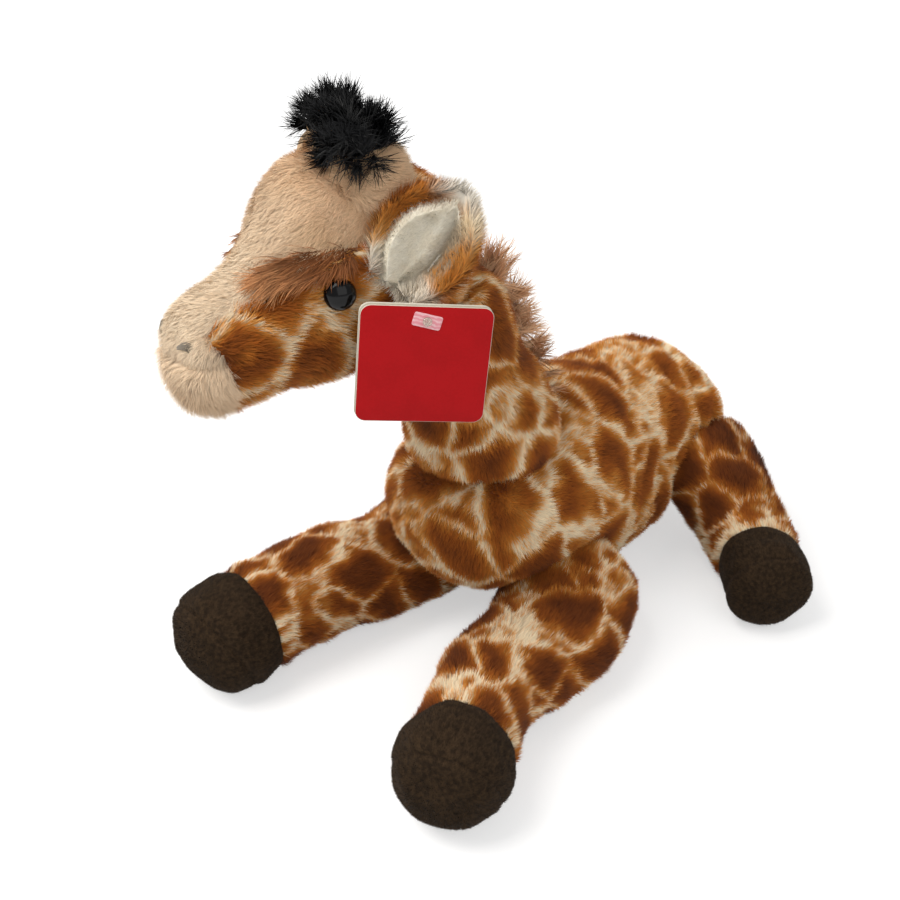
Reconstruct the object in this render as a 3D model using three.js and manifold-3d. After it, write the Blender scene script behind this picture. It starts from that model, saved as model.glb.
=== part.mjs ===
// Lying plush giraffe: stuffed body, neck, head, legs, ears, tail, and a hang tag on one ear.
// Sizes in mm. The toy faces -Y, its left side is +X and its belly rests on the plane z = 0.
import * as THREE from 'three';
import { mergeVertices } from 'three/addons/utils/BufferGeometryUtils.js';
import Module from 'manifold-3d';

const wasm = await Module();
wasm.setup();

// Trunk
const trunkLength = 212;
const trunkWidth = 102;
const trunkHeight = 110;
const bellyDepth = 2; // how far the belly would reach below the floor that flattens it

// Neck and head
const neckRise = 96;
const neckRadius = 31;
const neckBallRadius = 35;
const headLength = 139;
const headWidth = 72;
const headHeight = 100;
const headBallRadius = 31;
const hornRadius = 16;
const hornHeight = 29;
const hornSpacing = 28;
const hornTuftRadius = 15.5;
const hornTuftHeight = 22;

// Ears
const earLength = 43;
const earWidth = 33;
const earCup = 11; // how far the ear's edges curl forward
const earOuterThickness = 3.4;
const earLiningThickness = 1.8;

// Face trim
const eyeRadius = 6.2;
const eyeDomeHeight = 4.6;
const eyeShankRadius = 1.8;
const eyeShankLength = 9;
const browLength = 44;
const browWidth = 15;
const browThickness = 8;
const nostrilLength = 7;
const nostrilWidth = 1.8;

// Legs
const frontLegLength = 148;
const hindLegLength = 91;
const frontLegRadius = 26;
const hindLegRadius = 23.5;
const frontRootBack = 13; // how far a front leg reaches back past its pivot
const frontBallRadius = 28;
const hindBallRadius = 27;
const frontKneeHeight = 22.5; // of the leg's middle above the floor
const frontShinHeight = 25;
const hindKneeHeight = 43;
const hindShinHeight = 25;
const hoofLength = 40;

// Mane and tail
const maneWidth = 9;
const maneHeight = 15;
const tailLength = 52;
const tailRadius = 4.6;
const tailTuftRadius = 8;
const tailTuftLength = 30;

// Hang tag
const cardWidth = 50;
const cardHeight = 48.5;
const cardThickness = 0.5;
const cardCorner = 4;
const stickerWidth = 9;
const stickerHeight = 5;
const stickerThickness = 0.15;
const strandRadius = 0.45;
const toggleLength = 8;
const paddleRadius = 1.8;
const paddleThickness = 0.8;
const holeRadius = 1;

// Clearances
const gap = 0.3; // between pieces that touch in the real toy
const cupGap = 0.65; // round the ball of a limb in its cup
const foldGap = 1.2; // between an ear and the horn beside it

// Angles in degrees
const neckLean = 23.5;
const headTurn = 12; // to the toy's right
const neckSweep = { low: -12, high: 12 };
const headSweep = { low: -18, high: 14 };
const frontSweep = { low: -14, high: 16 };
const hindSweep = { low: -14, high: 12 };
const earSweep = { low: 0, high: 22 };
const tailSweep = { low: -35, high: 35 };
const tagTurn = 52; // of the card's face, from straight ahead to the toy's left
const tagLean = 5; // of the card in its own plane, its foot to the toy's right

// Shares of the sizes above: along, half width, half height, height of the middle
const trunkShares = [
  [0, 0, 0, 0.64],
  [0.04, 0.48, 0.4, 0.64],
  [0.115, 0.82, 0.67, 0.64],
  [0.21, 0.86, 0.84, 0.595],
  [0.33, 0.94, 0.93, 0.54],
  [0.475, 0.97, 1.03, 0.515],
  [0.62, 1, 1.03, 0.53],
  [0.745, 1, 0.91, 0.592],
  [0.853, 0.92, 0.77, 0.638],
  [0.935, 0.7, 0.57, 0.65],
  [0.98, 0.37, 0.33, 0.65],
  [1, 0, 0, 0.65],
];
const headShares = [
  [0, 0, 0, 0.21],
  [0.04, 0.45, 0.3, 0.21],
  [0.13, 0.78, 0.58, 0.2],
  [0.23, 0.95, 0.78, 0.205],
  [0.345, 1, 0.92, 0.2],
  [0.46, 0.97, 0.95, 0.205],
  [0.561, 0.9, 0.96, 0.195],
  [0.64, 0.8, 0.87, 0.162],
  [0.715, 0.75, 0.65, 0.052],
  [0.806, 0.74, 0.57, -0.005],
  [0.892, 0.67, 0.5, -0.02],
  [0.964, 0.43, 0.32, -0.03],
  [1, 0, 0, -0.035],
];
// Seam of the tan face, seen from the side: along the head, height above its pivot
const faceSeamShares = [
  [0.83, -0.45],
  [0.85, -0.16],
  [0.87, 0.01],
  [0.9, 0.09],
  [0.905, 0.135],
  [0.85, 0.185],
  [0.745, 0.245],
  [0.66, 0.3],
  [0.56, 0.36],
  [0.45, 0.42],
  [0.34, 0.5],
  [0.2, 0.6],
];
const frontLegShares = [
  [0, 0, 0],
  [0.03, 0.6, 0.5],
  [0.09, 1.05, 0.8],
  [0.2, 1.26, 0.82],
  [0.36, 1.2, 0.86],
  [0.52, 1.1, 0.93],
  [0.66, 1, 0.97],
  [0.76, 0.99, 0.99],
  [0.84, 1.03, 1.03],
  [0.92, 0.96, 0.96],
  [0.975, 0.6, 0.6],
  [1, 0, 0],
];
const hindLegShares = [
  [0, 0, 0],
  [0.03, 0.6, 0.5],
  [0.09, 1.05, 1.02],
  [0.2, 1.2, 1.14],
  [0.36, 1.1, 1.08],
  [0.52, 1, 0.99],
  [0.66, 0.96, 0.95],
  [0.76, 0.98, 0.97],
  [0.84, 1.03, 1.03],
  [0.92, 0.96, 0.96],
  [0.975, 0.6, 0.6],
  [1, 0, 0],
];
const neckShares = [
  [0, 1.14],
  [0.3, 1.2],
  [0.5, 1.08],
  [0.7, 1],
  [0.88, 0.96],
];
const tuftShares = [
  [0, 0],
  [0.04, 0.42],
  [0.16, 0.72],
  [0.36, 0.95],
  [0.58, 1],
  [0.8, 0.78],
  [0.95, 0.38],
  [1, 0],
];
const tailShares = [
  [0, 0],
  [0.05, 0.75],
  [0.16, 1.1],
  [0.5, 1],
  [0.85, 0.86],
  [0.96, 0.6],
  [1, 0],
];
const maneShares = [
  [0, 0, 0],
  [0.05, 0.7, 0.55],
  [0.2, 1, 0.95],
  [0.5, 1, 1],
  [0.8, 1, 0.95],
  [0.95, 0.7, 0.55],
  [1, 0, 0],
];
const hornShares = [
  [0, 0],
  [0.04, 0.8],
  [0.3, 1.06],
  [0.6, 1],
  [0.82, 0.84],
  [0.95, 0.48],
  [1, 0],
];
const earWidthShares = [0.5, 0.74, 0.92, 1, 0.98, 0.86, 0.62, 0.26];

const fur = { color: 0xb0702f, roughness: 1, metalness: 0 };
const tanPile = { color: 0xd8b792, roughness: 1, metalness: 0 };
const creamPile = { color: 0xd6cfc0, roughness: 1, metalness: 0 };
const browPile = { color: 0x8c5537, roughness: 1, metalness: 0 };
const manePile = { color: 0x96704f, roughness: 1, metalness: 0 };
const hoofPile = { color: 0x3e3228, roughness: 1, metalness: 0 };
const blackPile = { color: 0x0f1116, roughness: 1, metalness: 0 };
const eyeGloss = { color: 0x060606, roughness: 0.08, metalness: 0 };
const greyThread = { color: 0x8d8a86, roughness: 0.8, metalness: 0 };
const redCard = { color: 0xa5191e, roughness: 0.35, metalness: 0 };
const paleCard = { color: 0xd9d2bd, roughness: 0.6, metalness: 0 };
const pinkPaper = { color: 0xe8a6ad, roughness: 0.6, metalness: 0 };
const clearPlastic = { color: 0xdad6cc, roughness: 0.3, metalness: 0 };

const part = new THREE.Group();
part.name = 'lying_plush_giraffe';
const xAxis = new THREE.Vector3(1, 0, 0);
const yAxis = new THREE.Vector3(0, 1, 0);
const zAxis = new THREE.Vector3(0, 0, 1);

function radians(degrees) {
  return THREE.MathUtils.degToRad(degrees);
}

function place(x, y, z) {
  return new THREE.Vector3(x, y, z);
}

// Solids: three geometry in and out of the joining library

function solid(geometry) {
  const bare = geometry.clone();
  bare.deleteAttribute('normal');
  bare.deleteAttribute('uv');
  const merged = mergeVertices(bare, 1e-4);
  const mesh = new wasm.Mesh({
    numProp: 3,
    vertProperties: new Float32Array(merged.attributes.position.array),
    triVerts: new Uint32Array(merged.index.array),
  });
  return new wasm.Manifold(mesh);
}

function geometryOf(body) {
  const mesh = body.getMesh();
  const geometry = new THREE.BufferGeometry();
  geometry.setAttribute('position', new THREE.BufferAttribute(mesh.vertProperties, 3));
  geometry.setIndex(new THREE.BufferAttribute(mesh.triVerts, 1));
  return geometry;
}

function addPiece(name, body, look) {
  const flat = geometryOf(body).toNonIndexed();
  flat.computeVertexNormals();
  const mesh = new THREE.Mesh(flat, new THREE.MeshStandardMaterial(look));
  mesh.name = name;
  part.add(mesh);
}

function cut(body, ...tools) {
  return tools.reduce((rest, tool) => rest.subtract(tool), body);
}

// Turns a solid about an axis through a point.
function turned(body, pivot, axis, degrees) {
  const geometry = geometryOf(body);
  const turn = new THREE.Matrix4().makeRotationAxis(axis, radians(degrees));
  geometry.translate(-pivot.x, -pivot.y, -pivot.z);
  geometry.applyMatrix4(turn);
  geometry.translate(pivot.x, pivot.y, pivot.z);
  return solid(geometry);
}

// Cuts a moving piece by its neighbour as it lies at rest and at both ends of the joint's turn.
// The neighbour is rounded there, so that the places between are clear too.
function cutThrough(body, neighbour, pivot, axis, sweep) {
  const places = [sweep.low, 0, sweep.high].map((angle) => turned(neighbour, pivot, axis, -angle));
  return cut(body, ...places);
}

function ball(centre, radius) {
  const geometry = new THREE.IcosahedronGeometry(radius, 3);
  geometry.translate(centre.x, centre.y, centre.z);
  return solid(geometry);
}

// A cylinder from one point to another.
function rod(from, to, radius, sides = 12) {
  const along = to.clone().sub(from);
  const geometry = new THREE.CylinderGeometry(radius, radius, along.length(), sides);
  geometry.applyQuaternion(new THREE.Quaternion().setFromUnitVectors(yAxis, along.clone().normalize()));
  const middle = from.clone().add(to).multiplyScalar(0.5);
  geometry.translate(middle.x, middle.y, middle.z);
  return solid(geometry);
}

// Everything on the side of a plane that its normal points to.
function halfSpace(point, normal) {
  const reach = trunkLength * 3;
  const geometry = new THREE.BoxGeometry(reach, reach, reach);
  geometry.translate(0, 0, reach / 2);
  geometry.applyQuaternion(new THREE.Quaternion().setFromUnitVectors(zAxis, normal.clone().normalize()));
  geometry.translate(point.x, point.y, point.z);
  return solid(geometry);
}

// Soft forms: rings along a path, closed at both ends

function spline(a, b, c, d, t) {
  return a.map((value, i) => {
    const bend = 2 * value - 5 * b[i] + 4 * c[i] - d[i];
    const twist = 3 * b[i] - value - 3 * c[i] + d[i];
    return 0.5 * (2 * b[i] + (c[i] - value) * t + bend * t * t + twist * t * t * t);
  });
}

// Fills in rows between the given ones; an end row of no radius is rounded.
function smoothRows(rows, steps) {
  const beyond = (end, next) => {
    if (end[1] > 0) return end.map((value, i) => 2 * value - next[i]);
    return next.map((value, i) => (i === 1 || i === 2 ? -value : value));
  };
  const all = [beyond(rows[0], rows[1]), ...rows, beyond(rows.at(-1), rows.at(-2))];
  const out = [];
  for (let i = 1; i < all.length - 2; i += 1) {
    for (let step = 0; step < steps; step += 1) {
      out.push(spline(all[i - 1], all[i], all[i + 1], all[i + 2], step / steps));
    }
  }
  out.push(rows.at(-1));
  return out;
}

// Each ring has a middle, a side axis, an up axis and two radii; pointed ends are single points.
function skin(rings, sides) {
  const positions = [];
  const faces = [];
  const starts = rings.map((ring) => {
    const start = positions.length / 3;
    const count = ring.wide > 0 ? sides : 1;
    for (let i = 0; i < count; i += 1) {
      const angle = (2 * Math.PI * i) / sides;
      const point = ring.at.clone();
      point.addScaledVector(ring.side, ring.wide * Math.cos(angle) * (count > 1 ? 1 : 0));
      point.addScaledVector(ring.up, ring.high * Math.sin(angle));
      positions.push(point.x, point.y, point.z);
    }
    return { start, count };
  });
  const cap = (ring, flip) => {
    for (let i = 1; i < ring.count - 1; i += 1) {
      const tri = [ring.start, ring.start + i, ring.start + i + 1];
      faces.push(...(flip ? tri.reverse() : tri));
    }
  };
  cap(starts[0], false);
  cap(starts.at(-1), true);
  for (let r = 0; r < starts.length - 1; r += 1) {
    const low = starts[r];
    const high = starts[r + 1];
    for (let i = 0; i < sides; i += 1) {
      const j = (i + 1) % sides;
      const a = low.start + (low.count > 1 ? i : 0);
      const b = low.start + (low.count > 1 ? j : 0);
      const c = high.start + (high.count > 1 ? j : 0);
      const d = high.start + (high.count > 1 ? i : 0);
      if (low.count > 1) faces.push(a, d, b);
      if (high.count > 1) faces.push(b, d, c);
    }
  }
  const geometry = new THREE.BufferGeometry();
  geometry.setAttribute('position', new THREE.BufferAttribute(new Float32Array(positions), 3));
  geometry.setIndex(faces);
  return solid(geometry);
}

// A swelling form along a curve. Rows hold along, half width, half height and rise, as shares.
function softForm({ path, rows, wide, high, rise = 0, up, steps = 2, sides = 24, grow = 0 }) {
  const rings = smoothRows(rows, steps).map((row, i, all) => {
    const along = Math.min(1, Math.max(0, row[0]));
    const at = path.getPointAt(along);
    const tangent = path.getTangentAt(along);
    const side = new THREE.Vector3().crossVectors(tangent, up).normalize();
    const ringUp = new THREE.Vector3().crossVectors(side, tangent).normalize();
    at.addScaledVector(ringUp, (row[3] ?? 0) * rise);
    const pointed = row[1] <= 0;
    if (i === 0) at.addScaledVector(tangent, -grow);
    if (i === all.length - 1) at.addScaledVector(tangent, grow);
    const highShare = row[2] ?? row[1];
    return {
      at,
      side,
      up: ringUp,
      wide: pointed ? 0 : row[1] * wide + grow,
      high: pointed ? 0 : highShare * high + grow,
    };
  });
  return skin(rings, sides);
}

function line(...points) {
  return points.length > 2 ? new THREE.CatmullRomCurve3(points) : new THREE.LineCurve3(...points);
}

// Trunk

const rumpY = trunkLength * 0.5;
const chestY = rumpY - trunkLength;
const neckPivot = place(0, chestY * 0.5, trunkHeight * 0.86);

function trunkForm(grow) {
  return softForm({
    path: line(place(0, rumpY, -bellyDepth), place(0, chestY, -bellyDepth)),
    rows: trunkShares,
    wide: trunkWidth / 2,
    high: trunkHeight / 2,
    rise: trunkHeight,
    up: zAxis,
    sides: 20,
    grow,
  });
}

const frontPivots = [[0.41, 0.28], [-0.35, 0.36]].map(([across, ahead]) => {
  return place(trunkWidth * across, chestY * ahead, trunkHeight * 0.275);
});
const hindPivots = [0.285, -0.285].map((share) => place(trunkWidth * share, rumpY * 0.76, trunkHeight * 0.56));

const floor = halfSpace(place(0, 0, 0), zAxis.clone().negate());
const trunkGrown = trunkForm(gap);

function makeTrunk() {
  const cups = [
    ball(neckPivot, neckBallRadius + cupGap),
    ...frontPivots.map((pivot) => ball(pivot, frontBallRadius + cupGap)),
    ...hindPivots.map((pivot) => ball(pivot, hindBallRadius + cupGap)),
  ];
  addPiece('trunk', cut(trunkForm(0), floor, ...cups), fur);
}

// Neck

const neckForward = neckRise * Math.tan(radians(neckLean));
const headPivot = place(0, neckPivot.y - neckForward, neckPivot.z + neckRise);
const neckDirection = headPivot.clone().sub(neckPivot).normalize();

function neckForm(grow) {
  return softForm({
    path: line(neckPivot, headPivot),
    rows: neckShares,
    wide: neckRadius,
    high: neckRadius,
    up: yAxis,
    sides: 18,
    grow,
  });
}

const neckGrown = cut(neckForm(gap), ball(headPivot, headBallRadius));

function makeNeck() {
  const tube = cutThrough(neckForm(0), trunkGrown, neckPivot, xAxis, neckSweep);
  const neck = tube.add(ball(neckPivot, neckBallRadius));
  addPiece('neck', cut(neck, ball(headPivot, headBallRadius + cupGap)), fur);
}

// Head, in its own directions: forward, left and up from the pivot on top of the neck

const forward = place(0, -1, 0).applyAxisAngle(zAxis, -radians(headTurn));
const left = xAxis.clone().applyAxisAngle(zAxis, -radians(headTurn));
const headBack = headLength * 0.144;

function onHead(ahead, leftward, height) {
  const point = headPivot.clone();
  point.addScaledVector(forward, ahead);
  point.addScaledVector(left, leftward);
  return point.addScaledVector(zAxis, height);
}

function headForm(grow) {
  return softForm({
    path: line(onHead(-headBack, 0, 0), onHead(headLength - headBack, 0, 0)),
    rows: headShares,
    wide: headWidth / 2,
    high: headHeight / 2,
    rise: headHeight,
    up: zAxis,
    sides: 20,
    grow,
  });
}

// The region of the tan face: all that is in front of and above its seam.
function faceRegion(shift) {
  const seam = faceSeamShares.map(([ahead, height]) => [
    headLength * ahead - headBack + shift,
    headHeight * height + shift,
  ]);
  const reach = headLength * 2;
  const outline = [...seam, [-reach, seam.at(-1)[1]], [-reach, reach], [reach, reach], [reach, seam[0][1]]];
  const shape = new THREE.Shape(outline.map(([x, y]) => new THREE.Vector2(x, y)));
  const geometry = new THREE.ExtrudeGeometry(shape, { depth: headWidth * 2, bevelEnabled: false });
  geometry.translate(0, 0, -headWidth);
  const lateral = forward.clone().cross(zAxis);
  geometry.applyMatrix4(new THREE.Matrix4().makeBasis(forward, zAxis, lateral));
  geometry.translate(headPivot.x, headPivot.y, headPivot.z);
  return solid(geometry);
}

const headGrown = headForm(gap);
const headWhole = cutThrough(headForm(0), neckGrown, headPivot, left, headSweep);
const eyePlaces = [1, -1].map((side) => ({ side, ahead: headLength * 0.42, height: headHeight * 0.235 }));

// Where a line from the middle of the head, out to the side, leaves the head.
function cheek(ahead, height, side) {
  const share = (ahead + headBack) / headLength;
  const rows = smoothRows(headShares, 8);
  const row = rows.reduce((best, each) => (Math.abs(each[0] - share) < Math.abs(best[0] - share) ? each : best));
  const drop = (height - row[3] * headHeight) / ((row[2] * headHeight) / 2);
  const reach = (row[1] * headWidth * Math.sqrt(Math.max(0, 1 - drop * drop))) / 2;
  const point = onHead(ahead, side * reach, height);
  const outward = left.clone().multiplyScalar(side * Math.sqrt(Math.max(0.04, 1 - drop * drop)));
  outward.addScaledVector(zAxis, drop * (headWidth / headHeight));
  return { point, outward: outward.normalize() };
}

function eyeAt({ side, ahead, height }) {
  const { point, outward } = cheek(ahead, height, side);
  return { point, outward: outward.addScaledVector(forward, 0.32).normalize() };
}

function eyeForm(eye, grow) {
  const dome = [];
  const steps = 6;
  for (let i = 0; i <= steps; i += 1) {
    const angle = (Math.PI / 2) * (i / steps);
    dome.push(new THREE.Vector2(
      (eyeRadius + grow) * Math.cos(angle) * (i < steps ? 1 : 0),
      (eyeDomeHeight + grow) * Math.sin(angle),
    ));
  }
  const profile = [
    new THREE.Vector2(0, -eyeShankLength - grow),
    new THREE.Vector2(eyeShankRadius + grow, -eyeShankLength - grow),
    new THREE.Vector2(eyeShankRadius + grow, -eyeDomeHeight * 0.5 - grow),
    new THREE.Vector2(eyeRadius + grow, -eyeDomeHeight * 0.5 - grow),
    ...dome,
  ];
  const geometry = new THREE.LatheGeometry(profile, 18);
  geometry.applyQuaternion(new THREE.Quaternion().setFromUnitVectors(yAxis, eye.outward));
  geometry.translate(eye.point.x, eye.point.y, eye.point.z);
  return solid(geometry);
}

function makeHead() {
  const sockets = eyePlaces.map((each) => eyeForm(eyeAt(each), gap));
  const head = cut(headWhole.add(ball(headPivot, headBallRadius)), ...sockets);
  addPiece('head', cut(head, faceRegion(0)), fur);
  addPiece('face', head.intersect(faceRegion(gap)), tanPile);
}

function sideName(side) {
  return side > 0 ? 'left' : 'right';
}

function makeEyes() {
  eyePlaces.forEach((each) => {
    addPiece(`eye_${sideName(each.side)}`, eyeForm(eyeAt(each), 0), eyeGloss);
  });
}

// A long pad of pile lying along the head over each eye.
function makeBrows() {
  eyePlaces.forEach(({ side, ahead, height }) => {
    const level = height + browWidth * 0.85;
    const points = [-0.22, 0.14, 0.5].map((share) => cheek(ahead + browLength * share, level - browWidth * share * 0.6, side));
    const pad = softForm({
      path: line(...points.map(({ point }) => point)),
      rows: tuftShares,
      wide: browWidth / 2,
      high: browThickness / 2,
      up: points[1].outward,
      sides: 14,
      steps: 1,
    });
    const eye = eyeForm(eyeAt({ side, ahead, height }), gap);
    addPiece(`brow_${sideName(side)}`, cut(pad, headGrown, eye), browPile);
  });
}

function makeNostrils() {
  [1, -1].forEach((side) => {
    const level = headHeight * 0.1;
    const ahead = headLength * 0.972 - headBack;
    const from = cheek(ahead, level, side).point;
    const to = cheek(ahead - nostrilLength * 0.5, level, side).point;
    const stitch = softForm({
      path: line(from, to),
      rows: tuftShares,
      wide: nostrilWidth,
      high: nostrilWidth,
      up: zAxis,
      sides: 10,
      steps: 1,
    });
    addPiece(`nostril_${sideName(side)}`, cut(stitch, headGrown), greyThread);
  });
}

// Horns with pile tufts

function hornForm(side, grow) {
  const foot = onHead(headLength * 0.25, side * hornSpacing * 0.5, headHeight * 0.44);
  const tip = foot.clone().addScaledVector(zAxis, hornHeight);
  return softForm({
    path: line(foot, tip),
    rows: hornShares,
    wide: hornRadius,
    high: hornRadius,
    up: yAxis,
    sides: 18,
    steps: 1,
    grow,
  });
}

function makeHorns() {
  const middle = onHead(0, 0, 0);
  [1, -1].forEach((side) => {
    const half = halfSpace(middle.clone().addScaledVector(left, (side * gap) / 2), left.clone().multiplyScalar(side));
    const horn = cut(hornForm(side, 0), headGrown).intersect(half);
    addPiece(`horn_${sideName(side)}`, horn, tanPile);
    const foot = onHead(headLength * 0.255, side * hornSpacing * 0.52, headHeight * 0.44 + hornHeight * 0.72);
    const tuft = softForm({
      path: line(foot, foot.clone().addScaledVector(zAxis, hornTuftHeight)),
      rows: tuftShares,
      wide: hornTuftRadius,
      high: hornTuftRadius,
      up: yAxis,
      sides: 20,
      steps: 1,
    });
    addPiece(`horn_tuft_${sideName(side)}`, cut(tuft, hornForm(side, gap), headGrown).intersect(half), blackPile);
  });
}

// Ears: a cupped outer leaf and a thinner lining leaf

const earPoses = [
  { side: 1, lift: 54, sweep: 59 },
  { side: -1, lift: 12, sweep: 58 },
];

function earFrame({ side, lift, sweep }) {
  const root = cheek(headLength * 0.245, headHeight * 0.26, side).point;
  const level = left.clone().multiplyScalar(side * Math.cos(radians(sweep)));
  level.addScaledVector(forward, -Math.sin(radians(sweep)));
  const out = level.multiplyScalar(Math.cos(radians(lift))).addScaledVector(zAxis, Math.sin(radians(lift)));
  const toward = forward.clone().multiplyScalar(0.74).addScaledVector(left, side * 0.6);
  const face = toward.addScaledVector(out, -toward.dot(out)).normalize();
  const across = new THREE.Vector3().crossVectors(out, face).normalize();
  return { side, root, out, face, across };
}

function earWidthAt(share) {
  const rows = smoothRows(earWidthShares.map((value, i) => [i / (earWidthShares.length - 1), value]), 4);
  const row = rows.reduce((best, each) => (Math.abs(each[0] - share) < Math.abs(best[0] - share) ? each : best));
  return row[1] * earWidth * 0.5;
}

function earPoint(ear, along, across, lift) {
  const start = -0.12;
  const point = ear.root.clone().addScaledVector(ear.out, earLength * (start + (1 - start) * along));
  point.addScaledVector(ear.across, across * earWidthAt(along));
  const curl = earCup * (1.15 - 0.5 * along);
  point.addScaledVector(ear.face, curl * (across * across - 0.35));
  const slope = (2 * curl * across) / earWidthAt(along);
  const normal = ear.face.clone().addScaledVector(ear.across, -slope).normalize();
  return point.addScaledVector(normal, lift);
}

// A leaf between two distances from the ear's surface.
function earLeaf(ear, near, far, widthShare, lengthShare) {
  const alongSteps = 7;
  const acrossSteps = 6;
  const positions = [];
  const faces = [];
  const index = (layer, i, j) => (layer * (alongSteps + 1) + i) * (acrossSteps + 1) + j;
  [near, far].forEach((lift) => {
    for (let i = 0; i <= alongSteps; i += 1) {
      for (let j = 0; j <= acrossSteps; j += 1) {
        const across = ((2 * j) / acrossSteps - 1) * widthShare;
        const point = earPoint(ear, (i / alongSteps) * lengthShare, across, lift);
        positions.push(point.x, point.y, point.z);
      }
    }
  });
  const quad = (a, b, c, d) => faces.push(a, c, b, a, d, c);
  for (let i = 0; i < alongSteps; i += 1) {
    for (let j = 0; j < acrossSteps; j += 1) {
      quad(index(0, i, j), index(0, i, j + 1), index(0, i + 1, j + 1), index(0, i + 1, j));
      quad(index(1, i, j), index(1, i + 1, j), index(1, i + 1, j + 1), index(1, i, j + 1));
    }
    quad(index(0, i, 0), index(0, i + 1, 0), index(1, i + 1, 0), index(1, i, 0));
    quad(index(0, i, acrossSteps), index(1, i, acrossSteps), index(1, i + 1, acrossSteps), index(0, i + 1, acrossSteps));
  }
  for (let j = 0; j < acrossSteps; j += 1) {
    quad(index(0, 0, j), index(1, 0, j), index(1, 0, j + 1), index(0, 0, j + 1));
    quad(index(0, alongSteps, j), index(0, alongSteps, j + 1), index(1, alongSteps, j + 1), index(1, alongSteps, j));
  }
  const geometry = new THREE.BufferGeometry();
  geometry.setAttribute('position', new THREE.BufferAttribute(new Float32Array(positions), 3));
  geometry.setIndex(faces);
  return solid(geometry);
}

const ears = earPoses.map(earFrame);
const pierced = {
  low: earPoint(ears[0], 0.36, 0.55, -earOuterThickness),
  high: earPoint(ears[0], 0.36, 0.55, earLiningThickness + gap),
};

function makeEars() {
  ears.forEach((ear) => {
    const axis = ear.across.clone().multiplyScalar(ear.side);
    const name = sideName(ear.side);
    const away = pierced.high.clone().sub(pierced.low);
    const hole = rod(
      pierced.low.clone().addScaledVector(away, -1),
      pierced.high.clone().addScaledVector(away, 1),
      strandRadius + gap,
    );
    const tools = [hornForm(ear.side, foldGap), ...(ear.side > 0 ? [hole] : [])];
    const outer = cutThrough(earLeaf(ear, -earOuterThickness, 0, 1, 1), headGrown, ear.root, axis, earSweep);
    const lining = cut(
      cutThrough(earLeaf(ear, gap, gap + earLiningThickness, 0.86, 0.93), headGrown, ear.root, axis, earSweep),
      earLeaf(ear, -earOuterThickness, gap, 1, 1),
    );
    addPiece(`ear_${name}`, cut(outer, ...tools), fur);
    addPiece(`ear_lining_${name}`, cut(lining, ...tools), creamPile);
  });
}

// Legs and hooves

const frontPoses = [
  { side: 1, headings: [20, 9, 26], fullness: 1 },
  { side: -1, headings: [9, 4, 1], fullness: 1.06 },
];
const hindPoses = [
  { side: 1, headings: [76, 64, 48], fullness: 1 },
  { side: -1, headings: [104, 74, 58], fullness: 1 },
];

function legPath(pivot, { length, radius, rootBack, heights }, { side, headings }) {
  const step = (point, degrees, distance, height) => {
    const next = point.clone();
    next.x += side * distance * Math.sin(radians(degrees));
    next.y -= distance * Math.cos(radians(degrees));
    next.z = height;
    return next;
  };
  const root = step(pivot, headings[0], -rootBack, pivot.z);
  const knee = step(pivot, headings[0], length * 0.3, heights.knee);
  const shin = step(knee, headings[1], length * 0.35, heights.shin);
  const hoof = step(shin, headings[2], length * 0.35, radius * 1.04);
  return line(root, ...(rootBack > 0 ? [pivot] : []), knee, shin, hoof, step(hoof, headings[2], radius * 0.95, radius));
}

// One leg of the toy: a stuffed tube, a hoof band and a sole, parted at their seams.
function makeLeg(pair, pivot, pose) {
  const path = legPath(pivot, pair, pose);
  const name = `${pair.name}_${sideName(pose.side)}`;
  const radius = pair.radius * pose.fullness;
  const whole = softForm({ path, rows: pair.rows, wide: radius, high: radius, up: zAxis, sides: 16 });
  const seam = 1 - hoofLength / path.getLength();
  const soleSeam = 1 - (hoofLength * 0.46) / path.getLength();
  const beyond = (share, normal, back) => {
    return halfSpace(path.getPointAt(share).addScaledVector(normal, -back), normal);
  };
  const seamNormal = path.getTangentAt(seam);
  const soleNormal = path.getTangentAt(soleSeam).addScaledVector(zAxis, -0.35).normalize();
  const ends = [pair.sweep.low * pose.side, pair.sweep.high * pose.side];
  const sweep = { low: Math.min(...ends), high: Math.max(...ends) };
  const free = cut(cutThrough(whole, trunkGrown, pivot, zAxis, sweep), floor);
  const leg = free.add(ball(pivot, pair.ballRadius));
  addPiece(`leg_${name}`, cut(leg, beyond(seam, seamNormal, gap)), fur);
  const hoof = free.intersect(beyond(seam, seamNormal, 0));
  addPiece(`hoof_${name}`, cut(hoof, beyond(soleSeam, soleNormal, gap)), hoofPile);
  addPiece(`sole_${name}`, hoof.intersect(beyond(soleSeam, soleNormal, 0)), hoofPile);
}

function makeLegs() {
  const front = {
    name: 'front',
    length: frontLegLength,
    radius: frontLegRadius,
    rootBack: frontRootBack,
    rows: frontLegShares,
    heights: { knee: frontKneeHeight, shin: frontShinHeight },
    ballRadius: frontBallRadius,
    sweep: frontSweep,
  };
  const hind = {
    name: 'hind',
    length: hindLegLength,
    radius: hindLegRadius,
    rootBack: 0,
    rows: hindLegShares,
    heights: { knee: hindKneeHeight, shin: hindShinHeight },
    ballRadius: hindBallRadius,
    sweep: hindSweep,
  };
  frontPoses.forEach((pose, i) => makeLeg(front, frontPivots[i], pose));
  hindPoses.forEach((pose, i) => makeLeg(hind, hindPivots[i], pose));
}

// Mane: a ridge of pile sewn up the back of the neck

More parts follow.
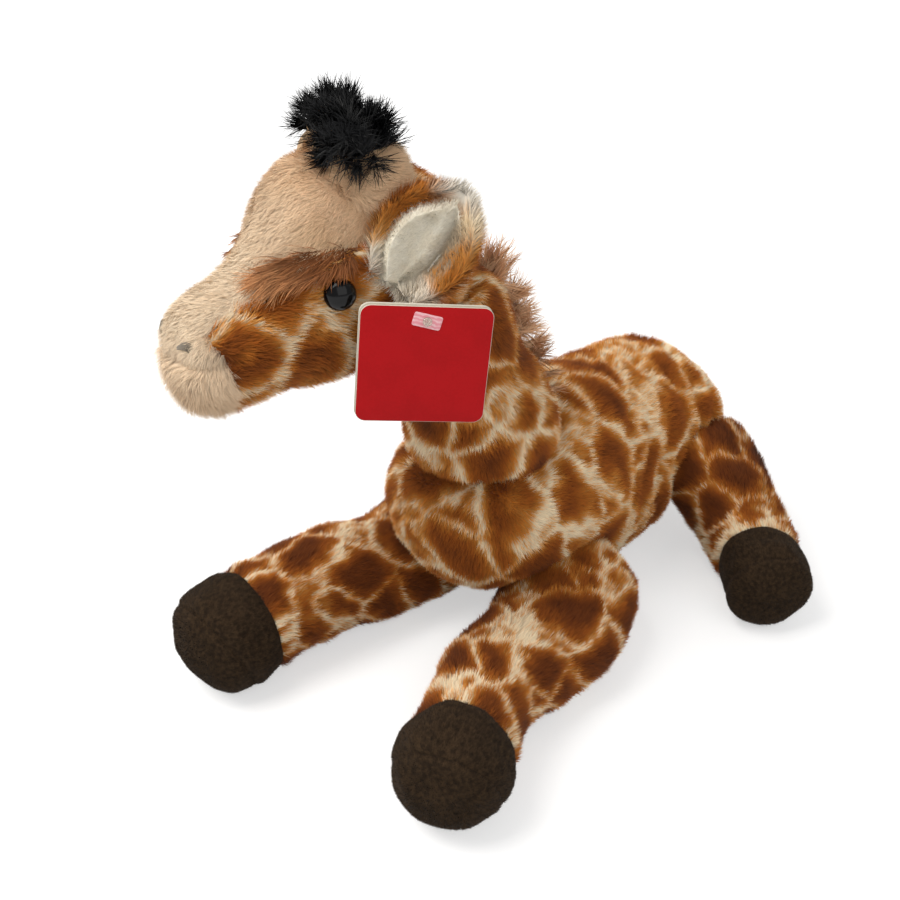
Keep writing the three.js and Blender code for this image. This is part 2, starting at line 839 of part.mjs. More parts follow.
function makeMane() {
  const back = neckDirection.clone().cross(xAxis).normalize();
  const points = [0.2, 0.5, 0.85].map((share) => {
    const point = neckPivot.clone().lerp(headPivot, share);
    return point.addScaledVector(back, neckRadius * 0.98);
  });
  const ridge = softForm({
    path: line(...points),
    rows: maneShares,
    wide: maneWidth / 2,
    high: maneHeight / 2,
    up: back,
    sides: 14,
    steps: 1,
  });
  const headAway = { low: -headSweep.high, high: -headSweep.low };
  const clearOfHead = cutThrough(ridge, headGrown, headPivot, left, headAway);
  const clear = cutThrough(clearOfHead, trunkGrown, neckPivot, xAxis, neckSweep);
  addPiece('mane', cut(clear, neckForm(gap)), manePile);
}

// Tail

function makeTail() {
  const root = place(0, rumpY * 0.975, trunkHeight * 0.7);
  const path = line(
    root,
    place(0, rumpY + tailLength * 0.18, trunkHeight * 0.66),
    place(0, rumpY + tailLength * 0.26, trunkHeight * 0.66 - tailLength * 0.4),
    place(0, rumpY + tailLength * 0.27, trunkHeight * 0.66 - tailLength * 0.75),
  );
  const rope = softForm({ path, rows: tailShares, wide: tailRadius, high: tailRadius, up: xAxis, sides: 14 });
  const end = path.getPointAt(1);
  const tuftTop = end.clone().addScaledVector(zAxis, tailRadius * 1.3);
  const tuft = softForm({
    path: line(tuftTop, tuftTop.clone().addScaledVector(zAxis, -tailTuftLength)),
    rows: tuftShares,
    wide: tailTuftRadius,
    high: tailTuftRadius,
    up: yAxis,
    sides: 16,
    steps: 1,
  });
  const ropeWide = softForm({ path, rows: tailShares, wide: tailRadius, high: tailRadius, up: xAxis, sides: 14, grow: gap });
  addPiece('tail', cutThrough(rope, trunkGrown, root, yAxis, tailSweep), fur);
  addPiece('tail_tuft', cut(cutThrough(tuft, trunkGrown, root, yAxis, tailSweep), ropeWide, floor), blackPile);
}

// Hang tag: two card leaves, a price sticker and the plastic fastener that holds them to the ear

function makeTag() {
  const normal = place(0, -1, 0).applyAxisAngle(zAxis, radians(tagTurn));
  const level = zAxis.clone().cross(normal);
  const cardUp = zAxis.clone().applyAxisAngle(normal, radians(-tagLean));
  const hole = pierced.high.clone().addScaledVector(normal, cardWidth * 0.2);
  hole.addScaledVector(zAxis, -cardHeight * 0.37).addScaledVector(level, -cardWidth * 0.09);
  const inCard = new THREE.Matrix4().makeBasis(cardUp.clone().cross(normal), cardUp, normal);
  const drop = cardHeight * 0.38;
  const card = (width, height, corner, thickness, middleUp, distance) => {
    const w = width / 2;
    const h = height / 2;
    const shape = new THREE.Shape();
    shape.moveTo(-w + corner, -h);
    shape.lineTo(w - corner, -h);
    shape.absarc(w - corner, -h + corner, corner, -Math.PI / 2, 0);
    shape.lineTo(w, h - corner);
    shape.absarc(w - corner, h - corner, corner, 0, Math.PI / 2);
    shape.lineTo(-w + corner, h);
    shape.absarc(-w + corner, h - corner, corner, Math.PI / 2, Math.PI);
    shape.lineTo(-w, -h + corner);
    shape.absarc(-w + corner, -h + corner, corner, Math.PI, Math.PI * 1.5);
    const geometry = new THREE.ExtrudeGeometry(shape, { depth: thickness, bevelEnabled: false, curveSegments: 4 });
    geometry.translate(0, middleUp, distance);
    geometry.applyMatrix4(inCard);
    geometry.translate(hole.x, hole.y, hole.z);
    return solid(geometry);
  };
  const through = (from, to, radius) => rod(
    hole.clone().addScaledVector(normal, from),
    hole.clone().addScaledVector(normal, to),
    radius,
  );
  const stack = cardThickness * 2 + gap;
  const bore = through(-cardThickness * 2, stack + cardThickness * 2, holeRadius);
  const stickerFace = stack + stickerThickness;
  addPiece('tag_back', cut(card(cardWidth, cardHeight, cardCorner, cardThickness, -drop, 0), bore), paleCard);
  const front = card(cardWidth, cardHeight, cardCorner, cardThickness, -drop, cardThickness + gap);
  addPiece('tag_front', cut(front, bore), redCard);
  const sticker = card(stickerWidth, stickerHeight, stickerHeight * 0.12, stickerThickness, 0, stack + gap * 0.1);
  addPiece('tag_sticker', cut(sticker, bore), pinkPaper);

  const headFrom = stickerFace + gap;
  const leaving = pierced.low.clone().sub(pierced.high).normalize();
  const toggleAt = pierced.high.clone().addScaledVector(leaving, -(strandRadius + gap * 2));
  const bend = hole.clone().addScaledVector(normal, -cardWidth * 0.2);
  bend.addScaledVector(zAxis, cardHeight * 0.06).addScaledVector(level, cardWidth * 0.1);
  const strandPath = new THREE.CatmullRomCurve3([
    toggleAt,
    pierced.low.clone().addScaledVector(leaving, strandRadius * 0.5),
    pierced.low.clone().addScaledVector(leaving, strandRadius * 3),
    bend,
    hole.clone().addScaledVector(normal, -strandRadius * 2),
    hole.clone().addScaledVector(normal, headFrom + paddleThickness / 2),
  ], false, 'centripetal');
  const ring = new THREE.Shape();
  ring.absarc(0, 0, strandRadius, 0, Math.PI * 2);
  const strand = solid(new THREE.ExtrudeGeometry(ring, {
    steps: 20,
    curveSegments: 4,
    bevelEnabled: false,
    extrudePath: strandPath,
  }));
  const half = ears[0].out.clone().multiplyScalar(toggleLength / 2);
  const toggle = rod(toggleAt.clone().sub(half), toggleAt.clone().add(half), strandRadius);
  const paddle = through(headFrom, headFrom + paddleThickness, paddleRadius);
  addPiece('tag_fastener', strand.add(toggle).add(paddle), clearPlastic);
}

makeTrunk();
makeNeck();
makeHead();
makeEyes();
makeBrows();
makeNostrils();
makeHorns();
makeEars();
makeMane();
makeLegs();
makeTail();
makeTag();

export default part;
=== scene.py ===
import math
from contextlib import contextmanager

import bmesh
import bpy
import numpy as np
from mathutils import Matrix, Vector, noise
from mathutils.bvhtree import BVHTree


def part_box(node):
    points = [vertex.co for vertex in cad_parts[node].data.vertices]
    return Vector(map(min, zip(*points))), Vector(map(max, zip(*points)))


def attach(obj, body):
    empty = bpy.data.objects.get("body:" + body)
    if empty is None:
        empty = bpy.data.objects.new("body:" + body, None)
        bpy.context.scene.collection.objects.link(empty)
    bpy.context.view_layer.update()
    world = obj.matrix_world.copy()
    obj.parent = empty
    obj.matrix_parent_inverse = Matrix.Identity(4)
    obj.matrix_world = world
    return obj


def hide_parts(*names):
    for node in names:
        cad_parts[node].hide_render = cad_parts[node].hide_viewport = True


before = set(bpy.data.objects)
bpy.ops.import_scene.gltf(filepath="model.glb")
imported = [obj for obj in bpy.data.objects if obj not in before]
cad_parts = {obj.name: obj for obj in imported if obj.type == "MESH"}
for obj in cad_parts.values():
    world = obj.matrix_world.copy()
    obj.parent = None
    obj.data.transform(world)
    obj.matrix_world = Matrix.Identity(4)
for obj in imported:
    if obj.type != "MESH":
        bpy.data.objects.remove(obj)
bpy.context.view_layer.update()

mm = 0.001  # shapes are worked out in millimetres and written in metres
xAxis, yAxis, zAxis = np.eye(3)
sides = (("left", 1), ("right", -1))


def unit(v):
    return v / max(np.linalg.norm(v), 1e-12)


def units(rows):
    return rows / np.maximum(np.linalg.norm(rows, axis=-1, keepdims=True), 1e-12)


def turned(v, axis, degrees):
    return np.array(Matrix.Rotation(math.radians(degrees), 3, Vector(axis)) @ Vector(v))


def ease(low, high, values):
    t = np.clip((values - low) / (high - low), 0, 1)
    return t * t * (3 - 2 * t)


def bell(gap, width):
    return np.exp(-(gap / width) ** 2)


def roundAngles(around):
    return np.arange(around) / around * 2 * math.pi


# Curves and swelling forms

def smoothPath(points, samples=120):
    points = np.array(points, float)
    if len(points) == 2:
        return points[0] + np.linspace(0, 1, samples)[:, None] * (points[1] - points[0])
    ends = np.vstack([2 * points[0] - points[1], points, 2 * points[-1] - points[-2]])
    stretches = []
    for i in range(len(points) - 1):
        a, b, c, d = ends[i:i + 4]
        da, db, dc = (max(np.linalg.norm(q - p) ** 0.5, 1e-4) for p, q in ((a, b), (b, c), (c, d)))
        leave = ((b - a) / da - (c - a) / (da + db) + (c - b) / db) * db
        arrive = ((c - b) / db - (d - b) / (db + dc) + (d - c) / dc) * db
        t = np.linspace(0, 1, samples, endpoint=i == len(points) - 2)[:, None]
        stretches.append((2 * b - 2 * c + leave + arrive) * t ** 3
                         + (3 * c - 3 * b - 2 * leave - arrive) * t ** 2 + leave * t + b)
    return np.vstack(stretches)


def alongPath(dense, shares):
    steps = np.linalg.norm(np.diff(dense, axis=0), axis=1)
    lengths = np.concatenate([[0], np.cumsum(steps)])
    want = np.clip(shares, 0, 1) * lengths[-1]
    slopes = np.gradient(dense, lengths, axis=0)
    at, tangent = (np.stack([np.interp(want, lengths, rows[:, k]) for k in range(3)], axis=1)
                   for rows in (dense, slopes))
    return at, units(tangent), lengths[-1]


def smoothRows(rows, steps):
    rows = np.array([list(row) + [row[1]] * (3 - len(row)) + [0] * (len(row) < 4) for row in rows], float)

    def beyond(end, following):
        if end[1] > 0:
            return 2 * end - following
        return following * np.array([1, -1, -1, 1])

    full = np.vstack([beyond(rows[0], rows[1]), rows, beyond(rows[-1], rows[-2])])
    out = []
    for i in range(1, len(full) - 2):
        a, b, c, d = full[i - 1:i + 3]
        for t in np.arange(steps) / steps:
            out.append(0.5 * (2 * b + (c - a) * t + (2 * a - 5 * b + 4 * c - d) * t ** 2
                              + (3 * b - a - 3 * c + d) * t ** 3))
    return np.vstack([*out, rows[-1]])


# Rings round a path. Rows hold along, half width, half height and rise, as shares.
# The nap is 1 along the path and -1 against it.
def ringForm(path, rows, wide, high, up, rise=0, steps=9, around=72, nap=1):
    rows = smoothRows(rows, steps)
    if rows[0, 1] > 1e-6:
        rows = np.vstack([rows[0] * [1, 0, 0, 1], rows])
    if rows[-1, 1] > 1e-6:
        rows = np.vstack([rows, rows[-1] * [1, 0, 0, 1]])
    at, tangent, length = alongPath(path, rows[:, 0])
    side = units(np.cross(tangent, up))
    ringUp = units(np.cross(side, tangent))
    at = at + ringUp * (rows[:, 3:4] * rise)
    angle = roundAngles(around)
    across = np.outer(rows[:, 1] * wide, np.cos(angle))
    upward = np.outer(rows[:, 2] * high, np.sin(angle))
    points = at[:, None] + side[:, None] * across[..., None] + ringUp[:, None] * upward[..., None]
    along = np.repeat(np.clip(rows[:, 0], 0, 1)[:, None] * length, around, axis=1)
    place = np.stack([across, along, upward], axis=-1)
    return {**formOf(points, nap * tangent[:, None], place), "length": length}


# A form from rings of points. Its first and last rings close to a point.
def formOf(rings, comb, place=None):
    count, around = rings.shape[:2]
    i, j = (grid.ravel() for grid in np.meshgrid(np.arange(count - 1), np.arange(around), indexing="ij"))
    k = (j + 1) % around
    u, v = j / around, i / (count - 1)
    du, dv = 1 / around, 1 / (count - 1)
    return {
        "points": rings.reshape(-1, 3),
        "faces": np.stack([i * around + j, (i + 1) * around + j, (i + 1) * around + k, i * around + k], axis=1),
        "uv": np.stack([np.stack(corner, 1) for corner in ((u, v), (u, v + dv), (u + du, v + dv), (u + du, v))],
                       axis=1),
        "printPlace": (rings if place is None else place).reshape(-1, 3),
        "comb": np.broadcast_to(comb, rings.shape).reshape(-1, 3).copy(),
    }


def swelling(path, rows, wide, high, up, **more):
    return ringForm(smoothPath(path), rows, wide, high, up, **more)


# A smooth solid turned round an axis, from rows of radius and height.
def turnedForm(rows, foot, axis, around=48):
    rows = np.array(rows, float)
    slanting = (0.3, 0.5, 0.8)  # any way but the axis
    side = units(np.cross(axis, slanting))
    other = np.cross(axis, side)
    angle = roundAngles(around)[:, None]
    ring = side * np.cos(angle) + other * np.sin(angle)
    return formOf(foot + axis * rows[:, 1, None, None] + ring[None] * rows[:, 0, None, None], axis)


padRows = [(0, 0), (0.04, 0.42), (0.16, 0.72), (0.36, 0.95), (0.58, 1), (0.8, 0.78), (0.95, 0.38), (1, 0)]


# Meshes and objects

@contextmanager
def editing(mesh):
    bm = bmesh.new()
    bm.from_mesh(mesh)
    yield bm
    bm.to_mesh(mesh)
    bm.free()


def meshOf(name, points, faces):
    mesh = bpy.data.meshes.new(name)
    mesh.from_pydata(points, [], faces)
    return mesh


def newObject(name, data):
    obj = bpy.data.objects.new(name, data)
    bpy.context.scene.collection.objects.link(obj)
    return obj


def writeValues(mesh, name, values, kind="FLOAT", domain="POINT"):
    data = mesh.attributes.new(name, kind, domain).data
    data.foreach_set("value" if kind == "FLOAT" else "vector", np.array(values, np.float32).ravel())


def normalsOf(form):
    mesh = meshOf("trial", form["points"].tolist(), form["faces"].tolist())
    with editing(mesh) as bm:
        bmesh.ops.recalc_face_normals(bm, faces=bm.faces)
        bm.normal_update()
        normals = np.array([v.normal for v in bm.verts])
    bpy.data.meshes.remove(mesh)
    return normals


# Sinks a skin by one depth or by a depth for each point.
def settle(form, depth):
    form["points"] = form["points"] - normalsOf(form) * (depth if np.isscalar(depth) else depth[:, None])
    return form


# Slow swells and small dents, as cloth over filling has them.
def rumple(form, swells, seed):
    normals = normalsOf(form)
    offset = Vector((seed * 7.3, seed * 3.1, seed * 5.7))
    for size, depth in swells:
        lift = np.array([noise.noise(Vector(p) / size + offset) for p in form["points"]])
        form["points"] = form["points"] + normals * (lift * depth)[:, None]
    return form


def lieOnFloor(form, height):
    form["points"][:, 2] = np.maximum(form["points"][:, 2], height)
    return form


def treeOf(form):
    return BVHTree.FromPolygons(form["points"].tolist(), form["faces"].tolist())


def faceMiddles(form):
    return form["points"][form["faces"]].mean(axis=1)


# Which way the corners of a form's faces run: 1 where they already face outwards.
def outSign(form):
    if "outSign" not in form:
        corners = form["points"][form["faces"]]
        raw = np.cross(corners[:, 2] - corners[:, 0], corners[:, 3] - corners[:, 1])
        form["outSign"] = 1.0 if np.sum(raw * normalsOf(form)[form["faces"][:, 0]]) > 0 else -1.0
    return form["outSign"]


# No pile grows where a form lies deeper than the margin inside others.
def hide(form, margin, *others):
    middles = faceMiddles(form)
    form["cover"] = cover = np.ones(len(middles))
    for other in others:
        tree, sign = treeOf(other), outSign(other)
        for index, point in enumerate(middles):
            found, normal, _, gap = tree.find_nearest(Vector(point))
            if gap > margin and (Vector(point) - found).dot(normal) * sign < 0:
                cover[index] = 0


# Thins the pile towards the floor, down to the least share.
def thinBelow(form, low, high, least):
    form["cover"] *= least + (1 - least) * ease(low, high, faceMiddles(form)[:, 2])


# Draws a form in beside the ones it is sewn to.
def creaseBeside(form, others, depth, width=5.0):
    drawn = np.zeros(len(form["points"]))
    for other in others:
        tree = treeOf(other)
        gaps = np.array([tree.find_nearest(Vector(p))[3] for p in form["points"]])
        drawn = np.maximum(drawn, depth * bell(gaps, width))
    settle(form, drawn)


def skinObject(name, form):
    mesh = meshOf(name, (form["points"] * mm).tolist(), form["faces"].tolist())
    count = len(form["points"])
    normals = normalsOf(form)
    comb = units(np.broadcast_to(form["comb"], normals.shape))
    writeValues(mesh, "printPlace", form["printPlace"] * mm, "FLOAT_VECTOR")
    writeValues(mesh, "comb", comb - normals * np.sum(comb * normals, axis=1, keepdims=True), "FLOAT_VECTOR")
    writeValues(mesh, "pileLength", form.get("pileLength", np.ones(count)))
    writeValues(mesh, "pale", form.get("pale", np.zeros(count)))
    writeValues(mesh, "cover", form.get("cover", np.ones(len(form["faces"]))), domain="FACE")
    mesh.uv_layers.new(name="OFBake").uv.foreach_set("vector", form["uv"].astype(np.float32).ravel())
    with editing(mesh) as bm:
        bmesh.ops.remove_doubles(bm, verts=bm.verts, dist=1e-6)
        bmesh.ops.recalc_face_normals(bm, faces=bm.faces)
    mesh.shade_smooth()
    return newObject(name, mesh)


# Cuts a closed mesh at a plane and closes the cut. What the normal points to goes.
def cutAt(obj, point, normal):
    with editing(obj.data) as bm:
        everything = bm.verts[:] + bm.edges[:] + bm.faces[:]
        cut = bmesh.ops.bisect_plane(bm, geom=everything, dist=1e-7, plane_co=Vector(point * mm),
                                     plane_no=Vector(normal), clear_outer=True)
        rim = [item for item in cut["geom_cut"] if isinstance(item, bmesh.types.BMEdge)]
        bmesh.ops.holes_fill(bm, edges=rim, sides=0)
        bmesh.ops.recalc_face_normals(bm, faces=bm.faces)
    return obj


# Paint and shader helpers

def paint(red, green, blue):
    shares = [value / 255 for value in (red, green, blue)]
    return (*(s / 12.92 if s <= 0.04045 else ((s + 0.055) / 1.055) ** 2.4 for s in shares), 1)


# An input is given as a value, or as a socket to link it to.
def addNode(tree, kind, inputs=None, **settings):
    node = tree.nodes.new(kind)
    for key, value in settings.items():
        setattr(node, key, value)
    for socket, value in (inputs or {}).items():
        if isinstance(value, bpy.types.NodeSocket):
            tree.links.new(value, node.inputs[socket])
        else:
            node.inputs[socket].default_value = value
    return node


def emptyTree(owner):
    owner.use_nodes = True
    owner.node_tree.nodes.clear()
    return owner.node_tree


def newLook(name, colour=(0.8, 0.8, 0.8, 1), roughness=0.9, sheen=0.0, specular=0.25):
    material = bpy.data.materials.new(name)
    tree = emptyTree(material)
    shader = addNode(tree, "ShaderNodeBsdfPrincipled", {
        "Base Color": colour, "Roughness": roughness, "Sheen Weight": sheen, "Specular IOR Level": specular})
    addNode(tree, "ShaderNodeOutputMaterial", {"Surface": shader.outputs["BSDF"]})
    return material, tree, shader


def attributeOf(tree, name, output="Fac"):
    return addNode(tree, "ShaderNodeAttribute", attribute_name=name, attribute_type="GEOMETRY").outputs[output]


# Works from the first value through the others.
def maths(tree, operation, result, *others, clamp=False):
    for value in others:
        result = addNode(tree, "ShaderNodeMath", {0: result, 1: value}, operation=operation,
                         use_clamp=clamp).outputs[0]
    return result


def vectorMaths(tree, operation, a, b=None, scale=None):
    given = {key: value for key, value in ((0, a), (1, b), ("Scale", scale)) if value is not None}
    return addNode(tree, "ShaderNodeVectorMath", given, operation=operation).outputs[0]


def rampNode(tree, value, stops):
    node = addNode(tree, "ShaderNodeValToRGB", {0: value})
    elements = node.color_ramp.elements
    for i, (place, colour) in enumerate(stops):
        element = elements[i] if i < 2 else elements.new(place)
        element.position = place
        element.color = colour
    return node.outputs[0]


def mixColour(tree, share, a, b, blend="MIX"):
    return addNode(tree, "ShaderNodeMix", {0: share, 6: a, 7: b}, data_type="RGBA", blend_type=blend).outputs[2]


def noiseOf(tree, vector, size, detail=3.0, output="Fac"):
    return addNode(tree, "ShaderNodeTexNoise", {"Scale": 1 / (size * mm), "Detail": detail, "Vector": vector}
                   ).outputs[output]


# Painted shade deep in the pile: strands darker at their roots and lighter at their tips, and a different random tone
# on each strand
def strandShade(tree, colour, rootShade, spread, rootShadeFill=None):
    tip = maths(tree, "MULTIPLY", attributeOf(tree, "tipShare"), 1 - rootShade)
    tone = maths(tree, "MULTIPLY", maths(tree, "SUBTRACT", attributeOf(tree, "tone"), 0.5), spread)
    light = maths(tree, "ADD", tip, rootShade, tone)
    if rootShadeFill is not None:
        missing = maths(tree, "SUBTRACT", 1.0, light)
        light = maths(tree, "ADD", light, maths(tree, "MULTIPLY", missing, rootShadeFill))
    grey = addNode(tree, "ShaderNodeCombineColor", {0: light, 1: light, 2: light})
    return mixColour(tree, 1.0, colour, grey.outputs[0], "MULTIPLY")


printLook = {
    "cell": 29,          # across a patch, mm
    "warp": 11,          # how far the patches' outlines wander, mm
    "warpSize": 26,
    "swellSize": 34,     # how often the pale lines widen and close, mm
    "cream": paint(255, 236, 202),
    "gold": paint(232, 168, 88),
    "amber": paint(204, 124, 44),
    "rust": paint(166, 88, 24),
    "core": paint(114, 56, 14),
    "white": paint(250, 243, 230),
    "stops": (0.012, 0.05, 0.1, 0.19, 0.42),
    "fringe": 0.075,     # how far strands carry their colour over a patch's edge
    # how bright a strand's root is: painted shade deep in the pile
    "rootShade": 0.5,
    "spread": 0.62,
}


def printedPlush(name, stretch=(1, 1, 1), shift=(0, 0, 0), cell=printLook["cell"], lines=1):
    material, tree, shader = newLook(name, sheen=0.06)
    place = attributeOf(tree, "printPlace", "Vector")
    spots = addNode(tree, "ShaderNodeMapping", {
        "Vector": place, "Scale": tuple(s / (cell * mm) for s in stretch), "Location": shift})
    warp = noiseOf(tree, place, printLook["warpSize"], 2.0, "Color")
    warp = vectorMaths(tree, "SCALE", vectorMaths(tree, "SUBTRACT", warp, (0.5, 0.5, 0.5)),
                       scale=printLook["warp"] * 2 / cell)
    moved = vectorMaths(tree, "ADD", spots.outputs[0], warp)
    distance = addNode(tree, "ShaderNodeTexVoronoi", {"Vector": moved, "Scale": 1.0, "Randomness": 0.85},
                       feature="DISTANCE_TO_EDGE").outputs["Distance"]
    wavers = [(noiseOf(tree, place, size), depth) for size, depth in ((5, 0.13), (printLook["swellSize"], 0.22))]
    for value, depth in (*wavers, (attributeOf(tree, "tone"), printLook["fringe"])):
        lift = maths(tree, "MULTIPLY", maths(tree, "SUBTRACT", value, 0.5), depth)
        distance = maths(tree, "ADD", distance, lift)
    tones = [printLook[tone] for tone in ("cream", "gold", "amber", "rust", "core")]
    colour = rampNode(tree, distance, [(stop * lines, tone) for stop, tone in zip(printLook["stops"], tones)])
    colour = mixColour(tree, attributeOf(tree, "pale"), colour, printLook["white"])
    # Near the pale lines less of the painted root shade is kept, so they stay bright
    rootShadeFill = maths(tree, "MULTIPLY", maths(tree, "SUBTRACT", 0.1 * lines, distance), 7.0 / lines, clamp=True)
    colour = strandShade(tree, colour, printLook["rootShade"], printLook["spread"],
                         maths(tree, "MULTIPLY", rootShadeFill, 0.6))
    tree.links.new(colour, shader.inputs["Base Color"])
    return material


def plainPile(name, colour, dark, pale=None, rootShade=0.7, spread=0.3, size=9, sheen=0.2, **more):
    material, tree, shader = newLook(name, sheen=sheen, **more)
    cloud = noiseOf(tree, attributeOf(tree, "printPlace", "Vector"), size)
    mixed = rampNode(tree, cloud, [(0.36, dark), (0.62, colour)])
    # Mixes towards a second colour: a real paler tone on most pieces, painted shade in the hollow of the ear's lining
    if pale:
        mixed = mixColour(tree, attributeOf(tree, "pale"), mixed, pale)
    tree.links.new(strandShade(tree, mixed, rootShade, spread), shader.inputs["Base Color"])
    return material


# Strands of pile, from rows of height and half width

def strandMesh(name, rows, bulge):
    points, faces, tips, starts = [], [], [], []
    for share, half in rows:
        starts.append(len(points))
        for side in ((-1, 1) if half > 0 else (0,)):
            points.append((side * half, bulge * math.sin(math.pi * share), share))
            tips.append(share)
    for low, high, (_, half) in zip(starts, starts[1:], rows[1:]):
        faces.append((low, high, high + 1, low + 1) if half > 0 else (low, high, low + 1))
    mesh = meshOf(name, points, faces)
    writeValues(mesh, "tipShare", tips)
    return newObject(name, mesh)


shortStrand = strandMesh("shortStrand", [(0, 0.5), (1, 0)], 0)
longStrand = strandMesh("longStrand", [(0, 0.4), (0.4, 0.5), (0.75, 0.36), (1, 0)], 0.1)
pileOffer = {
    "Strands": 1.5,  # on a square millimetre
    "Length": 5.0, "Width": 0.5, "Lean": 0.6, "Tousle": 0.3, "TousleSize": 6.0, "Scatter": 0.2, "ClumpSize": 3.0,
    "ClumpPull": 0.5, "Uneven": 0.25, "Roll": 0.6,
}


# Plants strands on a skin and keeps the skin below them.
def pileTree():
    tree = bpy.data.node_groups.new("pile", "GeometryNodeTree")
    tree.interface.new_socket(name="Geometry", in_out="OUTPUT", socket_type="NodeSocketGeometry")
    offers = [("Geometry", "Geometry", None), ("Strand", "Object", None), ("Material", "Material", None),
              *((name, "Float", value) for name, value in pileOffer.items()), ("Seed", "Int", 1)]
    for name, kind, value in offers:
        socket = tree.interface.new_socket(name=name, in_out="INPUT", socket_type=f"NodeSocket{kind}")
        if value is not None:
            socket.default_value = value
    given = tree.nodes.new("NodeGroupInput").outputs

    def named(name, kind="FLOAT_VECTOR"):
        return addNode(tree, "GeometryNodeInputNamedAttribute", {"Name": name}, data_type=kind).outputs[0]

    def store(geometry, name, value, kind="FLOAT_VECTOR", domain="POINT"):
        what = {"Geometry": geometry, "Name": name, "Value": value}
        return addNode(tree, "GeometryNodeStoreNamedAttribute", what, data_type=kind, domain=domain).outputs[0]

    def chance(low, high, step, kind="FLOAT"):
        first = 0 if kind == "FLOAT_VECTOR" else 2
        limits = {first: low, first + 1: high, "Seed": maths(tree, "ADD", given["Seed"], step)}
        return addNode(tree, "FunctionNodeRandomValue", limits, data_type=kind).outputs[first // 2]

    def scaled(vector, scale):
        return vectorMaths(tree, "SCALE", vector, scale=scale)

    perSquare = maths(tree, "MULTIPLY", given["Strands"], 1e6, named("cover", "FLOAT"))
    spread = addNode(tree, "GeometryNodeDistributePointsOnFaces", {
        "Mesh": given["Geometry"], "Density": perSquare, "Seed": given["Seed"]}, distribute_method="RANDOM")
    normal = spread.outputs["Normal"]
    points = store(spread.outputs["Points"], "rootUv", named("OFBake"))
    points = store(points, "tone", chance(0.0, 1.0, 3), "FLOAT")
    points = store(points, "skinNormal", normal)

    place = tree.nodes.new("GeometryNodeInputPosition").outputs[0]
    swirl = addNode(tree, "ShaderNodeTexNoise", {
        "Vector": place, "Scale": maths(tree, "DIVIDE", 1000.0, given["TousleSize"]), "Detail": 1.0})
    clump = addNode(tree, "ShaderNodeTexVoronoi", {
        "Vector": place, "Scale": maths(tree, "DIVIDE", 1000.0, given["ClumpSize"])})
    centred = vectorMaths(tree, "SUBTRACT", swirl.outputs["Color"], (0.5, 0.5, 0.5))
    toClump = vectorMaths(tree, "SUBTRACT", clump.outputs["Position"], place)
    pull = maths(tree, "DIVIDE", maths(tree, "MULTIPLY", given["ClumpPull"], 1000.0), given["Length"])
    way = scaled(named("comb"), given["Lean"])
    for part in (scaled(normal, maths(tree, "SUBTRACT", 1.0, given["Lean"])),
                 scaled(centred, maths(tree, "MULTIPLY", given["Tousle"], 4.0)),
                 scaled(chance((-1.0, -1.0, -1.0), (1.0, 1.0, 1.0), 5, "FLOAT_VECTOR"), given["Scatter"]),
                 scaled(toClump, pull)):
        way = vectorMaths(tree, "ADD", way, part)

    first = addNode(tree, "FunctionNodeAlignRotationToVector", {"Vector": way}, axis="Z")
    second = addNode(tree, "FunctionNodeAlignRotationToVector", {"Rotation": first.outputs[0], "Vector": normal},
                     axis="Y", pivot_axis="Z")
    rolled = addNode(tree, "FunctionNodeAxisAngleToRotation", {
        "Angle": maths(tree, "MULTIPLY", chance(-1.0, 1.0, 7), given["Roll"])})
    turn = addNode(tree, "FunctionNodeRotateRotation", {
        "Rotation": second.outputs[0], "Rotate By": rolled.outputs[0]}, rotation_space="LOCAL")
    uneven = maths(tree, "ADD", maths(tree, "MULTIPLY", chance(-1.0, 1.0, 11), given["Uneven"]), 1.0)
    long = maths(tree, "MULTIPLY", given["Length"], mm, uneven, named("pileLength", "FLOAT"))
    size = addNode(tree, "ShaderNodeCombineXYZ", {
        0: maths(tree, "MULTIPLY", given["Width"], mm), 1: long, 2: long})
    strand = addNode(tree, "GeometryNodeObjectInfo", {"Object": given["Strand"]})
    planted = addNode(tree, "GeometryNodeInstanceOnPoints", {
        "Points": points, "Instance": strand.outputs["Geometry"], "Rotation": turn.outputs[0],
        "Scale": size.outputs[0]})
    real = addNode(tree, "GeometryNodeRealizeInstances", {0: planted.outputs[0]})
    strands = store(real.outputs[0], "OFBake", named("rootUv"), "FLOAT2", "CORNER")

    # The skin under the strands gets the painted root shade of a point partway up a strand
    skin = store(given["Geometry"], "tipShare", 0.6, "FLOAT")
    skin = store(skin, "tone", 0.5, "FLOAT")
    skin = store(skin, "skinNormal", tree.nodes.new("GeometryNodeInputNormal").outputs[0])
    joined = addNode(tree, "GeometryNodeJoinGeometry", {0: strands})
    tree.links.new(skin, joined.inputs[0])
    dressed = addNode(tree, "GeometryNodeSetMaterial", {
        "Geometry": joined.outputs[0], "Material": given["Material"]})
    addNode(tree, "NodeGroupOutput", {0: dressed.outputs[0]})
    return tree


pile = pileTree()
floorGap = 0.15   # between the lowest strands and the floor, mm
pileShare = 0.6   # of the skin's own direction in how a strand catches the light


